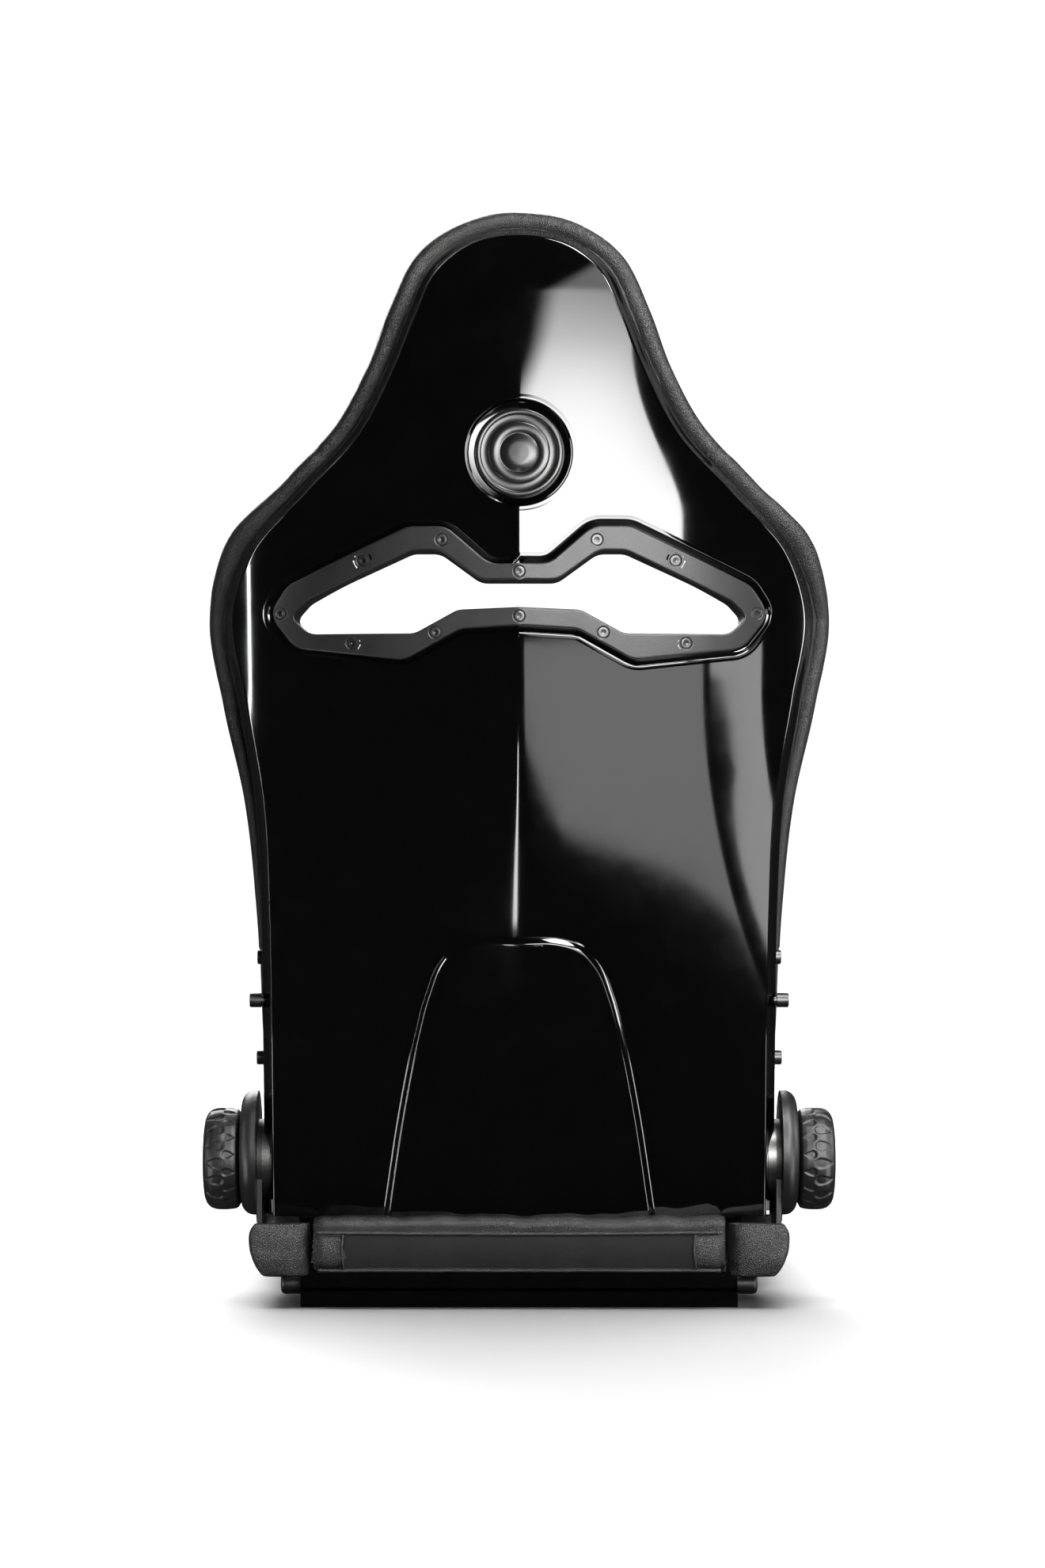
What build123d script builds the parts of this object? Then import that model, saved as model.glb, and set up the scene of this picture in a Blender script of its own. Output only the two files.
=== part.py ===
from build123d import *
import os
from math import cos, pi, sin, sqrt

# Reclining racing seat: a steel base frame with padded cushions, and a backrest
# built on a one-piece moulded rear shell with a harness slot through it.
# Millimetres.  +Z is up, the occupant faces -Y, +X is the occupant's left.
# The origin is the centre of the four threaded holes in the underside of the base.

os.makedirs("parts", exist_ok=True)

# ---------------------------------------------------------------- driving dimensions

# recline axis, parallel to X
AXIS_Y = 150.0
AXIS_Z = 128.0
SWEEP_R = 76.0            # the seat cushion is scooped to this radius round the axis

# rear shell
SHELL_T = 4.0
SHELL_BOTTOM = 80.0
SHELL_BOTTOM_Y = 205.0    # rear face at the bottom edge, on the centre line
LEAN = 0.15               # rearward lean, mm per mm of height
LEAN_END = 480.0          # height where the lean starts to fade
LEAN_FADE = 2.34e-4
HEAD_START = 900.0        # height where the top rolls forward
CREASE_LOW = 0.06         # slope either side of the centre crease, at the bottom
CREASE_HIGH = 0.12        # the same above the lower panel
WRAP_LOW = 10.0           # forward wrap of the sides at WRAP_X, at the bottom
WRAP_HIGH = 35.0          # the same at the shoulders
WRAP_X = 230.0
BLOCK = 420.0             # longer than the seat is deep
PAST = 20.0               # how far a half shape runs past the centre line before trimming

# half outlines of the backrest seen from behind, from the crown down: (x, z)
LEATHER_OUTLINE = [
    (0, 977), (52, 967), (92, 938), (115, 892), (134, 842), (160, 795), (210, 742),
    (265, 688), (282, 626), (270, 540), (252, 455), (242, 350), (238, 250), (236, 100),
]
SHELL_OUTLINE = [
    (0, 960), (46, 951), (79, 925), (99, 884), (118, 838), (146, 785), (197, 731),
    (248, 677), (266, 626), (255, 545), (239, 455), (233, 350), (231.5, 250), (231, 80),
]
# front edge of the shell's side walls, seen from the side: (y, z)
SHELL_FRONT_EDGE = [
    (118, 60), (106, 200), (112, 330), (135, 440), (150, 540), (156, 620),
    (186, 690), (222, 760), (240, 830), (246, 900), (240, 1000),
]

# harness slot and its trim ring, half outlines: (x, z)
SLOT_OUTLINE = [
    (0, 648), (34, 648), (70, 674), (94, 674), (188, 631), (203, 617), (186, 601.5),
    (92, 601.5), (54, 622), (0, 624),
]
RING_OUTLINE = [
    (0, 662), (26, 662), (64, 695), (98, 695), (206, 645), (223, 620), (199, 589),
    (101, 578), (52, 605), (0, 608),
]
RING_T = 3.0
RING_SCREWS = [           # (x, z) of one side; those on the centre line are single
    (0, 655), (68.3, 683), (138, 665.5), (211.5, 620.5), (147.7, 593), (74, 602), (0, 616),
]
RING_SCREW_HEAD_R = 5.0   # M5 countersunk
LINER_T = 3.0

# round badge
BADGE_Z = 759.0
BADGE_R = 38.6
BADGE_RECESS_R = 46.0

# back cushions: front face and bolster height
BACK_FRONT_Y = 100.0      # front of the lumbar pad at BACK_BOTTOM
BACK_BOTTOM = 112.0
BACK_SPLIT_X = 150.0      # centre pads end here and the bolsters begin
BOLSTER_BOTTOM = 165.0
WING_BOTTOM = 480.0
WING_TOP = 765.0
GAP = 0.6                 # sewn joints between soft pieces

# base frame
BASE_HALF_X = 195.0
RAIL_W = 45.0
RAIL_H = 30.0
RAIL_WALL = 3.0
RAIL_Y = (-196.0, 196.0)
HOLE_SPACING_X = 345.0
HOLE_SPACING_Y = 290.0
HOLE_R = 3.4              # M8 thread, minor radius
PAN_T = 2.0
PAN_BOLT_R = 3.0
PAN_BOLTS = [(x, y) for x in (-172.5, 172.5) for y in (-100.0, 60.0)]
BRACKET_FOOT_Z = (RAIL_H + PAN_T + 0.1, RAIL_H + PAN_T + 5.1)
BRACKET_BOLTS = [(172.5, 122.0), (172.5, 160.0)]   # (x, y)
TUBE_R = 8.0
TUBE_Z = 18.0
TUBE_Y = 178.0
CAP_END_X = 215.0

# seat cushions
SEAT_FRONT = -318.0
CUSHION_BOTTOM = RAIL_H + PAN_T + 1.0
SEAT_SPLIT_X = 150.0
BOLSTER_X = 243.0
ROLL_X = 184.0
ROLL_FRONT = 100.0
ROLL_BACK = 224.0
CORNER_FRONT = 82.0

# recliners, one each side: distances from the centre line
ARM_X = (213.5, 218.5)
MOVING_DISC_X = (218.5, 224.5)
SPACER_X = (218.5, 226.8)
FIXED_DISC_X = (224.9, 232.2)
BRACKET_X = (232.2, 236.7)
COVER_X = (237.3, 252.0)
KNOB_X = (253.0, 286.0)
HUB_R = 16.0
BUSH_R = 10.0
SHAFT_R = 7.0
RUNNING_GAP = 0.05
DISC_R = 36.0
COVER_R = 56.5
COVER_Z = 133.5
KNOB_R = 46.5
KNOB_GRIPS = 16
ARM_BOLTS = [(150, 220), (182, 274), (142, 311)]   # (y, z)
ARM_BOLT_PROUD = [7.0, 10.5, 6.0]                  # head height outside the shell
ARM_BOLT_SEAT_X = 231.9   # underside of the lowest head
BOLT_HEAD_R = 6.5         # M8 socket head
BOLT_R = 4.0
HEX_R = 3.46              # 6 mm hexagon, to its corners


# ---------------------------------------------------------------- helpers

def mirrored(shape):
    """The same shape on the other side of the seat."""
    return mirror(shape, about=Plane.YZ)


def both_sides(half):
    """A shape drawn for x >= 0, joined to its mirror image."""
    return half + mirrored(half)


def solids_group(shapes):
    """Several separate solids kept in one node."""
    return Compound(children=[solid for shape in shapes for solid in shape.solids()])


def write(shape, node):
    """Write one sub-part."""
    export_step(shape, f"parts/{node}.step")


def write_pair(right_hand_shape, name):
    """Write a piece for +X, the occupant's left, and its mirror image for -X."""
    write(right_hand_shape, f"{name}_left")
    write(mirrored(right_hand_shape), f"{name}_right")


def box(x, y, z):
    """Box from three (low, high) pairs."""
    size = [high - low for low, high in (x, y, z)]
    middle = [(high + low) / 2 for low, high in (x, y, z)]
    return Pos(*middle) * Box(*size)


def region(x, z):
    """Slab between two x and two z limits, right through the seat in Y."""
    return box(x, (-BLOCK, BLOCK), z)


def x_cylinder(radius, x, y=AXIS_Y, z=AXIS_Z):
    """Cylinder along X between two distances from the centre line."""
    return Pos((x[0] + x[1]) / 2, y, z) * Rot(0, 90, 0) * Cylinder(radius, x[1] - x[0])


def y_cylinder(radius, y, x, z):
    """Cylinder along Y."""
    return Pos(x, (y[0] + y[1]) / 2, z) * Rot(90, 0, 0) * Cylinder(radius, y[1] - y[0])


def z_cylinder(radius, z, x, y):
    """Cylinder along Z."""
    return Pos(x, y, (z[0] + z[1]) / 2) * Cylinder(radius, z[1] - z[0])


def side_profile(points, x):
    """Straight-sided outline in the YZ plane, carried from x[0] to x[1]."""
    outline = make_face(Polyline(*points, close=True))
    return extrude(Plane.YZ.offset(x[0]) * outline, x[1] - x[0])


def spread_points(points, amount):
    """Outline points moved outwards, square to the line between each point's neighbours."""
    moved = []
    for i, (x, z) in enumerate(points):
        before = points[max(i - 1, 0)]
        after = points[min(i + 1, len(points) - 1)]
        along_x, along_z = after[0] - before[0], after[1] - before[1]
        if i == 0:
            along_x, along_z = 1, 0
        if i == len(points) - 1:
            along_x, along_z = 0, -1
        length = sqrt(along_x ** 2 + along_z ** 2)
        moved.append((x - amount * along_z / length, z + amount * along_x / length))
    return moved


def rear_outline(points, spread=0.0):
    """Half outline in the XZ plane carried right through in Y.

    It starts at the mirror image of its second point, so that it is level at the crown, and
    runs below the foot.  What lies past the centre line and the foot is trimmed afterwards.
    """
    points = spread_points(points, spread)
    start = (-points[1][0], points[1][1])
    side, foot = points[-1]
    curve = Spline(start, *points)
    rest = Polyline((side, foot), (side, foot - PAST), (start[0], foot - PAST), start)
    return extrude(Plane.XZ * make_face(Curve() + [curve, rest]), BLOCK, both=True)


def slot_prism(half_points, spread=0.0, corner=9.0):
    """The slot's outline, or the ring's, with rounded corners, carried right through in Y."""
    mirrored_points = [(-x, z) for x, z in reversed(half_points) if x > 0]
    face = make_face(Polyline(*half_points, *mirrored_points, close=True))
    face = fillet(face.vertices().filter_by(lambda v: abs(v.X) > 1), corner)
    if spread:
        face = offset(face, spread)
    return extrude(Plane.XZ * face, BLOCK, both=True)


# ---------------------------------------------------------------- surfaces of the backrest

def blend(value, low, high):
    """0 below low, 1 above high, and a smooth step between."""
    t = min(max((value - low) / (high - low), 0.0), 1.0)
    return t * t * (3 - 2 * t)


def spine_y(z):
    """Rear face of the shell on the centre line: a lean that fades, then a rounded crown."""
    y = SHELL_BOTTOM_Y + LEAN * (z - SHELL_BOTTOM)
    y -= LEAN_FADE * max(z - LEAN_END, 0.0) ** 2
    return y - 14.0 * (max(z - HEAD_START, 0.0) / 60.0) ** 2


def shell_y(x, z):
    """Rear face of the shell: a roof either side of the crease, wrapped forward at the sides."""
    rise = blend(z, 150, 560)
    head = blend(z, 700, 860)
    crease = (CREASE_LOW + (CREASE_HIGH - CREASE_LOW) * rise) * (1 - head)
    wrap = WRAP_LOW + (WRAP_HIGH - WRAP_LOW) * rise
    dome = 12.0 * head * (x / 100.0) ** 2
    return spine_y(z) - crease * x - wrap * (x / WRAP_X) ** 4 - dome


def back_front_y(x, z):
    """Front of the back cushions: a leaning flat centre with bolsters standing forward."""
    centre = BACK_FRONT_Y + 0.215 * (z - BACK_BOTTOM) - 3.6e-4 * max(z - 500.0, 0.0) ** 2
    bolster = 95.0 * blend(z, 120, 330) * (1 - 0.75 * blend(z, 640, 860))
    edge = 146.0 - 80.0 * blend(z, 690, 880)
    return centre - bolster * blend(x, edge, edge + 85.0)


def surface(height, shift=0.0):
    """Spline face, from just past the centre line outwards, of y = height(x, z)."""
    columns = range(-70, 316, 35)
    rows = range(30, 1051, 30)
    points = [[Vector(x, height(x, z) + shift, z) for x in columns] for z in rows]
    return Face.make_surface_from_array_of_points(points, tol=0.05)


def ahead_of(height, shift=0.0):
    """Everything in front of a surface."""
    return Solid.extrude(surface(height, shift), Vector(0, -BLOCK, 0))


def behind(height, shift=0.0):
    """Everything behind a surface."""
    return Solid.extrude(surface(height, shift), Vector(0, BLOCK, 0))


def behind_shell_edge(shift=0.0):
    """Everything behind the front edge of the shell's side walls."""
    edge = [(y + shift, z) for y, z in SHELL_FRONT_EDGE]
    back = SHELL_FRONT_EDGE[0][0] + BLOCK
    low, high = SHELL_FRONT_EDGE[0][1], SHELL_FRONT_EDGE[-1][1]
    return side_profile(edge + [(back, high), (back, low)], (-5 * PAST, BLOCK))


# ---------------------------------------------------------------- backrest: hard pieces

def rear_shell():
    """One-piece moulded shell: rear skin, side walls, slot, badge recess and shaft holes."""
    outer = rear_outline(SHELL_OUTLINE) & ahead_of(shell_y)
    hollow = rear_outline(SHELL_OUTLINE, -SHELL_T) & ahead_of(shell_y, -SHELL_T)
    half = (outer & behind_shell_edge()) & region((0, 400), (SHELL_BOTTOM, 1000))
    half -= hollow
    boss_back = spine_y(BADGE_Z) - 6.5
    boss = y_cylinder(BADGE_RECESS_R + SHELL_T, (boss_back - SHELL_T, boss_back), 0, BADGE_Z)
    half += boss & box((0, 100), (0, BLOCK), (SHELL_BOTTOM, 1000))
    half -= y_cylinder(BADGE_RECESS_R, (boss_back, boss_back + 40), 0, BADGE_Z)
    half -= slot_prism(SLOT_OUTLINE, LINER_T + 0.3)
    half -= x_cylinder(DISC_R + 2.0, (200, 260))
    for y, z in ARM_BOLTS:
        half -= x_cylinder(BOLT_R + 0.3, (200, 260), y, z)
    for x, z in RING_SCREWS:
        head_y = shell_y(x, z) - 0.2
        half -= y_cylinder(2.2, (100, 320), x, z)
        half -= y_cylinder(RING_SCREW_HEAD_R + 0.3, (head_y, 320), x, z)
    return both_sides(half)


def slot_trim_ring():
    """Flat-topped ring that follows the shell's surface round the slot."""
    band = slot_prism(RING_OUTLINE) - slot_prism(SLOT_OUTLINE)
    layer = behind(shell_y, 0.05) & ahead_of(shell_y, RING_T)
    ring = both_sides((layer & band) & region((0, 300), (500, 750)))
    for x, y, z in ring_screw_places():
        ring -= ring_screw_body(x, y, z, 0.15)
    return ring


def ring_screw_places():
    """Where each screw's head meets the ring's outer face."""
    half = [(x, shell_y(x, z) + RING_T, z) for x, z in RING_SCREWS]
    return half + [(-x, y, z) for x, y, z in half if x > 0]


def ring_screw_body(x, y, z, extra=0.0):
    """Countersunk head and shank, pointing into the shell along -Y."""
    head = Cone(2.5 + extra, RING_SCREW_HEAD_R + extra, 2.6)
    shank = Pos(0, 0, -5.5) * Cylinder(2.0 + extra / 3, 9.0)
    return Pos(x, y - 1.5, z) * Rot(-90, 0, 0) * (head + shank)


def ring_screws():
    """Twelve M5 countersunk screws with hexagon sockets."""
    socket = extrude(RegularPolygon(1.9, 6), 1.6)
    screws = []
    for x, y, z in ring_screw_places():
        screws.append(ring_screw_body(x, y, z) - Pos(x, y - 1.7, z) * Rot(-90, 0, 0) * socket)
    return solids_group(screws)


def slot_liner():
    """Tube that lines the slot from the shell to the front of the cushions."""
    wall = slot_prism(SLOT_OUTLINE, LINER_T) - slot_prism(SLOT_OUTLINE)
    tube = ahead_of(shell_y) & behind(back_front_y, 4.0) & wall
    return both_sides(tube & region((0, 300), (500, 750)))


def shell_badge():
    """Plain round badge with a raised rim and a raised centre disc."""
    base_y = spine_y(BADGE_Z) - 6.5
    badge = y_cylinder(BADGE_R, (base_y, base_y + 4.5), 0, BADGE_Z)
    groove = y_cylinder(BADGE_R - 5, (base_y + 3, base_y + 5), 0, BADGE_Z)
    return badge - (groove - y_cylinder(BADGE_R - 12, (base_y, base_y + 9), 0, BADGE_Z))


def recline_arm():
    """Steel plate from the recliner up to the three bolts in the shell's side."""
    lower = x_cylinder(DISC_R, ARM_X)
    blade = side_profile([(120, 145), (122, 325), (165, 332), (202, 285), (184, 140)], ARM_X)
    arm = lower + fillet(blade.edges().filter_by(Axis.X), 9)
    arm -= x_cylinder(HUB_R + 0.6, (200, 230))
    for y, z in ARM_BOLTS:
        arm -= x_cylinder(BOLT_R + 0.3, (200, 230), y, z)
    return arm


def arm_bolts():
    """M8 socket-head bolts through the shell, spacer and arm."""
    bolts = []
    for (y, z), proud in zip(ARM_BOLTS, ARM_BOLT_PROUD):
        seat_x = ARM_BOLT_SEAT_X + 0.011 * (z - ARM_BOLTS[0][1])
        head = x_cylinder(BOLT_HEAD_R, (seat_x, seat_x + proud), y, z)
        head = chamfer(head.edges().sort_by(Axis.X)[-1], 0.8)
        shank = x_cylinder(BOLT_R, (ARM_X[0] - 6, seat_x + 1.0), y, z)
        socket = Plane.YZ * extrude(RegularPolygon(HEX_R, 6), 4)
        bolts.append(head + shank - Pos(seat_x + proud - 3.2, y, z) * socket)
    return solids_group([shape for bolt in bolts for shape in (bolt, mirrored(bolt))])


def arm_nuts():
    """Hexagon nuts welded on the inside of the arms."""
    nuts = []
    for y, z in ARM_BOLTS:
        blank = extrude(Plane.YZ.offset(ARM_X[0] - 5) * RegularPolygon(7.5, 6), 4.9)
        nut = Pos(0, y, z) * blank - x_cylinder(BOLT_R, (200, 220), y, z)
        nuts += [nut, mirrored(nut)]
    return solids_group(nuts)


def arm_spacers():
    """Sleeves that hold the shell's side off the arms."""
    sleeves = []
    for y, z in ARM_BOLTS:
        sleeve = x_cylinder(9, SPACER_X, y, z) - x_cylinder(BOLT_R + 0.3, (200, 240), y, z)
        sleeves += [sleeve, mirrored(sleeve)]
    return solids_group(sleeves)


def moving_disc():
    """Ring that turns with the backrest, borne on the hub of the fixed disc."""
    return x_cylinder(DISC_R, MOVING_DISC_X) - x_cylinder(HUB_R + RUNNING_GAP, (200, 230))


def backrest_cross_tube():
    """Tube across the back, just above the recliners, that ties the two arms together."""
    y, z = 160.0, 192.0
    tube = x_cylinder(10, (-ARM_X[0], ARM_X[0]), y, z)
    return tube - x_cylinder(8, (-BLOCK, BLOCK), y, z)


# ---------------------------------------------------------------- backrest: soft pieces

def upholstery_half():
    """All the padding on one side, before it is divided into its sewn pieces."""
    cushions = rear_outline(LEATHER_OUTLINE) & behind(back_front_y)
    rim = cushions - behind_shell_edge(-1.0)
    core = rear_outline(SHELL_OUTLINE, -SHELL_T - 1.6) & ahead_of(shell_y, -12)
    core = core & behind(back_front_y) & behind_shell_edge(-1.5)
    padding = (rim + core) & region((0, 400), (BACK_BOTTOM, 1000))
    padding -= box((193, 300), (105, 400), (0, 348))
    padding -= slot_prism(SLOT_OUTLINE, LINER_T + 0.6)
    return padding - box((-10, 200), (139, 400), (0, 212))


def back_bolster(padding):
    """Side bolster below the shoulder wing, cut on a slope where it meets the thigh bolster."""
    part = padding & region((BACK_SPLIT_X + GAP, 400), (0, WING_BOTTOM - GAP))
    part -= x_cylinder(COVER_R + COVER_Z - AXIS_Z + 2, (BRACKET_X[0] - 1, 400))
    below = [(300, BOLSTER_BOTTOM), (107, BOLSTER_BOTTOM), (40, 232), (-100, 232),
             (-100, 0), (300, 0)]
    return part - side_profile(below, (0, 400))


def shoulder_wing(padding):
    """Wing beside the slot's end."""
    return padding & region((BACK_SPLIT_X + GAP, 400), (WING_BOTTOM, WING_TOP - GAP))


def back_cushion(padding):
    """Centre pad from the lumbar to the lower edge of the slot."""
    return both_sides(padding & region((0, BACK_SPLIT_X), (BACK_BOTTOM, 630)))


def head_cushion(padding):
    """Pad above the slot and over the head."""
    middle = padding & region((0, BACK_SPLIT_X), (636, WING_TOP))
    crown = padding & region((0, 400), (WING_TOP, 1000))
    return both_sides(middle + crown)


# ---------------------------------------------------------------- base: frame

def side_rail():
    """Rectangular tube with two threaded holes in its underside."""
    inner, outer = BASE_HALF_X - RAIL_W, BASE_HALF_X
    rail = box((inner, outer), RAIL_Y, (0, RAIL_H))
    rail -= box((inner + RAIL_WALL, outer - RAIL_WALL), (-BLOCK, BLOCK),
                (RAIL_WALL, RAIL_H - RAIL_WALL))
    for y in (-HOLE_SPACING_Y / 2, HOLE_SPACING_Y / 2):
        rail -= z_cylinder(HOLE_R, (-1, RAIL_WALL + 1), HOLE_SPACING_X / 2, y)
    for y in (-TUBE_Y, TUBE_Y):
        rail -= x_cylinder(TUBE_R + 0.05, (100, 250), y, TUBE_Z)
    for x, y in BRACKET_BOLTS:
        rail -= z_cylinder(BOLT_R + 0.1, (20, 50), x, y)
    for x, y in PAN_BOLTS:
        rail -= z_cylinder(PAN_BOLT_R + 0.1, (20, 50), abs(x), y)
    return rail


def mount_nuts():
    """Weld nuts that carry the M8 threads of the four mounting holes."""
    nut = extrude(RegularPolygon(7.5, 6), 6.5)
    nuts = []
    for x in (-HOLE_SPACING_X / 2, HOLE_SPACING_X / 2):
        for y in (-HOLE_SPACING_Y / 2, HOLE_SPACING_Y / 2):
            blank = Pos(x, y, RAIL_WALL) * nut
            nuts.append(blank - z_cylinder(HOLE_R, (0, 20), x, y))
    return solids_group(nuts)


def cross_tube(y):
    """Round tube through both rails."""
    tube = x_cylinder(TUBE_R, (-CAP_END_X + 5, CAP_END_X - 5), y, TUBE_Z)
    return tube - x_cylinder(TUBE_R - 1.5, (-BLOCK, BLOCK), y, TUBE_Z)


def tube_caps():
    """Rounded plastic caps on the ends of the cross tubes."""
    caps = []
    for y in (-TUBE_Y, TUBE_Y):
        cap = x_cylinder(TUBE_R + 1.5, (BASE_HALF_X + 1.5, CAP_END_X), y, TUBE_Z)
        cap = fillet(cap.edges().sort_by(Axis.X)[-1], 4)
        cap -= x_cylinder(TUBE_R + 0.05, (190, CAP_END_X - 5), y, TUBE_Z)
        caps += [cap, mirrored(cap)]
    return solids_group(caps)


def cross_member(face_y, outward):
    """Pressed steel member across the end of the frame, with a stepped face."""
    profile = [(0, 0), (9, 0), (9, 14), (5, 17), (5, RAIL_H), (0, RAIL_H)]
    points = [(face_y + outward * y, z) for y, z in profile]
    return side_profile(points, (-BASE_HALF_X - 1, BASE_HALF_X + 1))


def seat_pan():
    """Pressed steel tray under the cushions, with stiffening ribs."""
    low = RAIL_H + 0.05
    pan = box((-BASE_HALF_X + 1, BASE_HALF_X - 1), (-292, 205), (low, low + PAN_T))
    lip = box((-BASE_HALF_X + 1, BASE_HALF_X - 1), (-292, -289), (12, low))
    pan += lip
    for x in (-90, -30, 30, 90):
        pan += box((x - 8, x + 8), (-185, 165), (low - 3, low + 0.5))
    for x, y in PAN_BOLTS:
        pan -= z_cylinder(PAN_BOLT_R + 0.1, (20, 50), x, y)
    for x, y in BRACKET_BOLTS:
        pan -= z_cylinder(BOLT_R + 0.1, (20, 50), x, y) + z_cylinder(BOLT_R + 0.1, (20, 50), -x, y)
    return pan


def pan_bolts():
    """Button-head bolts from the pan into the rails."""
    bolts = []
    for x, y in PAN_BOLTS:
        bolts.append(z_cylinder(PAN_BOLT_R, (RAIL_H - 8, RAIL_H + PAN_T), x, y))
    return solids_group(bolts)


# ---------------------------------------------------------------- base: recliners

def recliner_bracket():
    """Steel angle: a foot on the side rail, and a leg outside the shell up to the recliner."""
    leg = side_profile([(108, BRACKET_FOOT_Z[0]), (118, 132), (182, 132), (184, BRACKET_FOOT_Z[0])],
                       BRACKET_X)
    foot = box((BASE_HALF_X - RAIL_W + 4, BRACKET_X[1]), (108, 184), BRACKET_FOOT_Z)
    bracket = x_cylinder(DISC_R, BRACKET_X) + leg + foot
    bracket -= x_cylinder(HUB_R, (190, 250))
    for x, y in BRACKET_BOLTS:
        bracket -= z_cylinder(BOLT_R + 0.1, (20, 60), x, y)
    return bracket


def bracket_bolts():
    """M8 bolts that hold the brackets' feet to the rails."""
    bolts = []
    for x, y in BRACKET_BOLTS:
        top = BRACKET_FOOT_Z[1]
        bolt = z_cylinder(BOLT_HEAD_R, (top, top + 6), x, y)
        bolt += z_cylinder(BOLT_R, (RAIL_H - 12, top + 1), x, y)
        bolts += [bolt, mirrored(bolt)]
    return solids_group(bolts)


def fixed_disc():
    """Fixed half of the recliner: a disc with a hollow hub that carries everything on it."""
    disc = x_cylinder(DISC_R, FIXED_DISC_X)
    disc += x_cylinder(HUB_R - 0.02, (ARM_X[0], COVER_X[1] - 3))
    return disc - x_cylinder(BUSH_R, (190, 260))


def shaft_bush():
    """Plain bearing for the cross shaft, inside the hub."""
    bush = x_cylinder(BUSH_R, (ARM_X[0] + 1, COVER_X[1] - 4))
    return bush - x_cylinder(SHAFT_R + RUNNING_GAP, (190, 260))


def recliner_cover():
    """Moulded cover over the recliner, rounded towards the knob."""
    cover = x_cylinder(COVER_R, COVER_X, AXIS_Y, COVER_Z)
    cover = fillet(cover.edges().sort_by(Axis.X)[-1], 11)
    return cover - x_cylinder(HUB_R, (200, 260))


# ---------------------------------------------------------------- knobs and shaft

def cross_shaft():
    """Shaft that turns both recliners together."""
    return x_cylinder(SHAFT_R, (-KNOB_X[1] + 14, KNOB_X[1] - 14))


def recliner_knob():
    """Round hand wheel with scooped grips round its rim."""
    knob = x_cylinder(KNOB_R, KNOB_X)
    knob = fillet(knob.edges().sort_by(Axis.X)[-1], 9)
    knob = fillet(knob.edges().sort_by(Axis.X)[0], 3)
    for i in range(KNOB_GRIPS):
        angle = 2 * pi * i / KNOB_GRIPS
        y = AXIS_Y + (KNOB_R + 5) * cos(angle)
        z = AXIS_Z + (KNOB_R + 5) * sin(angle)
        knob -= Pos(KNOB_X[1] - 12, y, z) * Sphere(7)
    knob -= x_cylinder(24, (KNOB_X[1] - 4, KNOB_X[1] + 1))
    return knob - x_cylinder(SHAFT_R, (200, KNOB_X[1] - 14))


def knob_cap():
    """Pressed-in disc that closes the middle of the knob."""
    cap = x_cylinder(23.9, (KNOB_X[1] - 4, KNOB_X[1] - 1.5))
    return fillet(cap.edges().sort_by(Axis.X)[-1], 1.2)


# ---------------------------------------------------------------- seat cushions

def scoop(x):
    """The space the backrest's lower end turns in."""
    return x_cylinder(SWEEP_R, x)


def seat_cushion():
    """Centre of the seat: rises to the front, rounded over the front edge."""
    top = Spline((100, 103), (0, 104), (-150, 118), (-260, 130), (-300, 118), (SEAT_FRONT, 80))
    rest = Polyline(top @ 1, (SEAT_FRONT + 4, CUSHION_BOTTOM), (100, CUSHION_BOTTOM), top @ 0)
    face = make_face(Curve() + [top, rest])
    half_width = SEAT_SPLIT_X - GAP
    cushion = extrude(Plane.YZ * face, half_width, both=True)
    return cushion - scoop((-BLOCK, BLOCK))


def thigh_bolster():
    """Raised side of the seat, from the front to just ahead of the recliner."""
    top = Spline((81, 120), (40, 152), (-20, 172), (-120, 172), (-220, 150), (-290, 122),
                 (SEAT_FRONT + 2, 80))
    rest = Polyline(top @ 1, (SEAT_FRONT + 6, 30), (81, 30), top @ 0)
    face = make_face(Curve() + [top, rest])
    bolster = extrude(Plane.YZ.offset(SEAT_SPLIT_X) * face, BOLSTER_X - SEAT_SPLIT_X)
    bolster = fillet(bolster.edges().group_by(Axis.X)[-1].sort_by(Axis.Z)[-1], 22)
    bolster -= box((0, 203), (-BLOCK, BLOCK), (0, CUSHION_BOTTOM))
    return bolster - scoop((0, BLOCK))


def cushion_rear_roll():
    """Rear end of the seat cushion, under the backrest."""
    profile = [(ROLL_FRONT + GAP, CUSHION_BOTTOM), (ROLL_BACK - 6, CUSHION_BOTTOM),
               (ROLL_BACK, 46), (ROLL_BACK, 66), (ROLL_BACK - 7, 77), (ROLL_BACK - 30, 80),
               (ROLL_FRONT + GAP, 80)]
    roll = side_profile(profile, (-ROLL_X, ROLL_X)) - scoop((-BLOCK, BLOCK))
    for bracket_side in (1, -1):
        x = sorted((bracket_side * 150, bracket_side * 200))
        roll -= box(x, (0, 190), (0, BRACKET_FOOT_Z[1] + 7))
    return roll


def bolster_rear_corner():
    """Leather corner that wraps round behind the recliner bracket."""
    side = box((203, BOLSTER_X), (CORNER_FRONT, 222), (26, 78))
    back = box((ROLL_X + GAP, BOLSTER_X), (196, 222), (26, 78))
    corner = side + back
    corner = fillet(corner.edges().filter_by(Axis.Z).sort_by(Axis.Y)[-1], 20)
    corner -= box((0, BASE_HALF_X + 2), (0, 207), (0, CUSHION_BOTTOM))
    corner -= box((0, BRACKET_X[1] + 0.6), (100, 190), (0, BRACKET_FOOT_Z[1] + 1))
    corner -= box((BRACKET_X[0] - 0.6, BRACKET_X[1] + 0.6), (100, 190), (0, 90))
    return corner - scoop((0, BLOCK))


# ---------------------------------------------------------------- build everything

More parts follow.
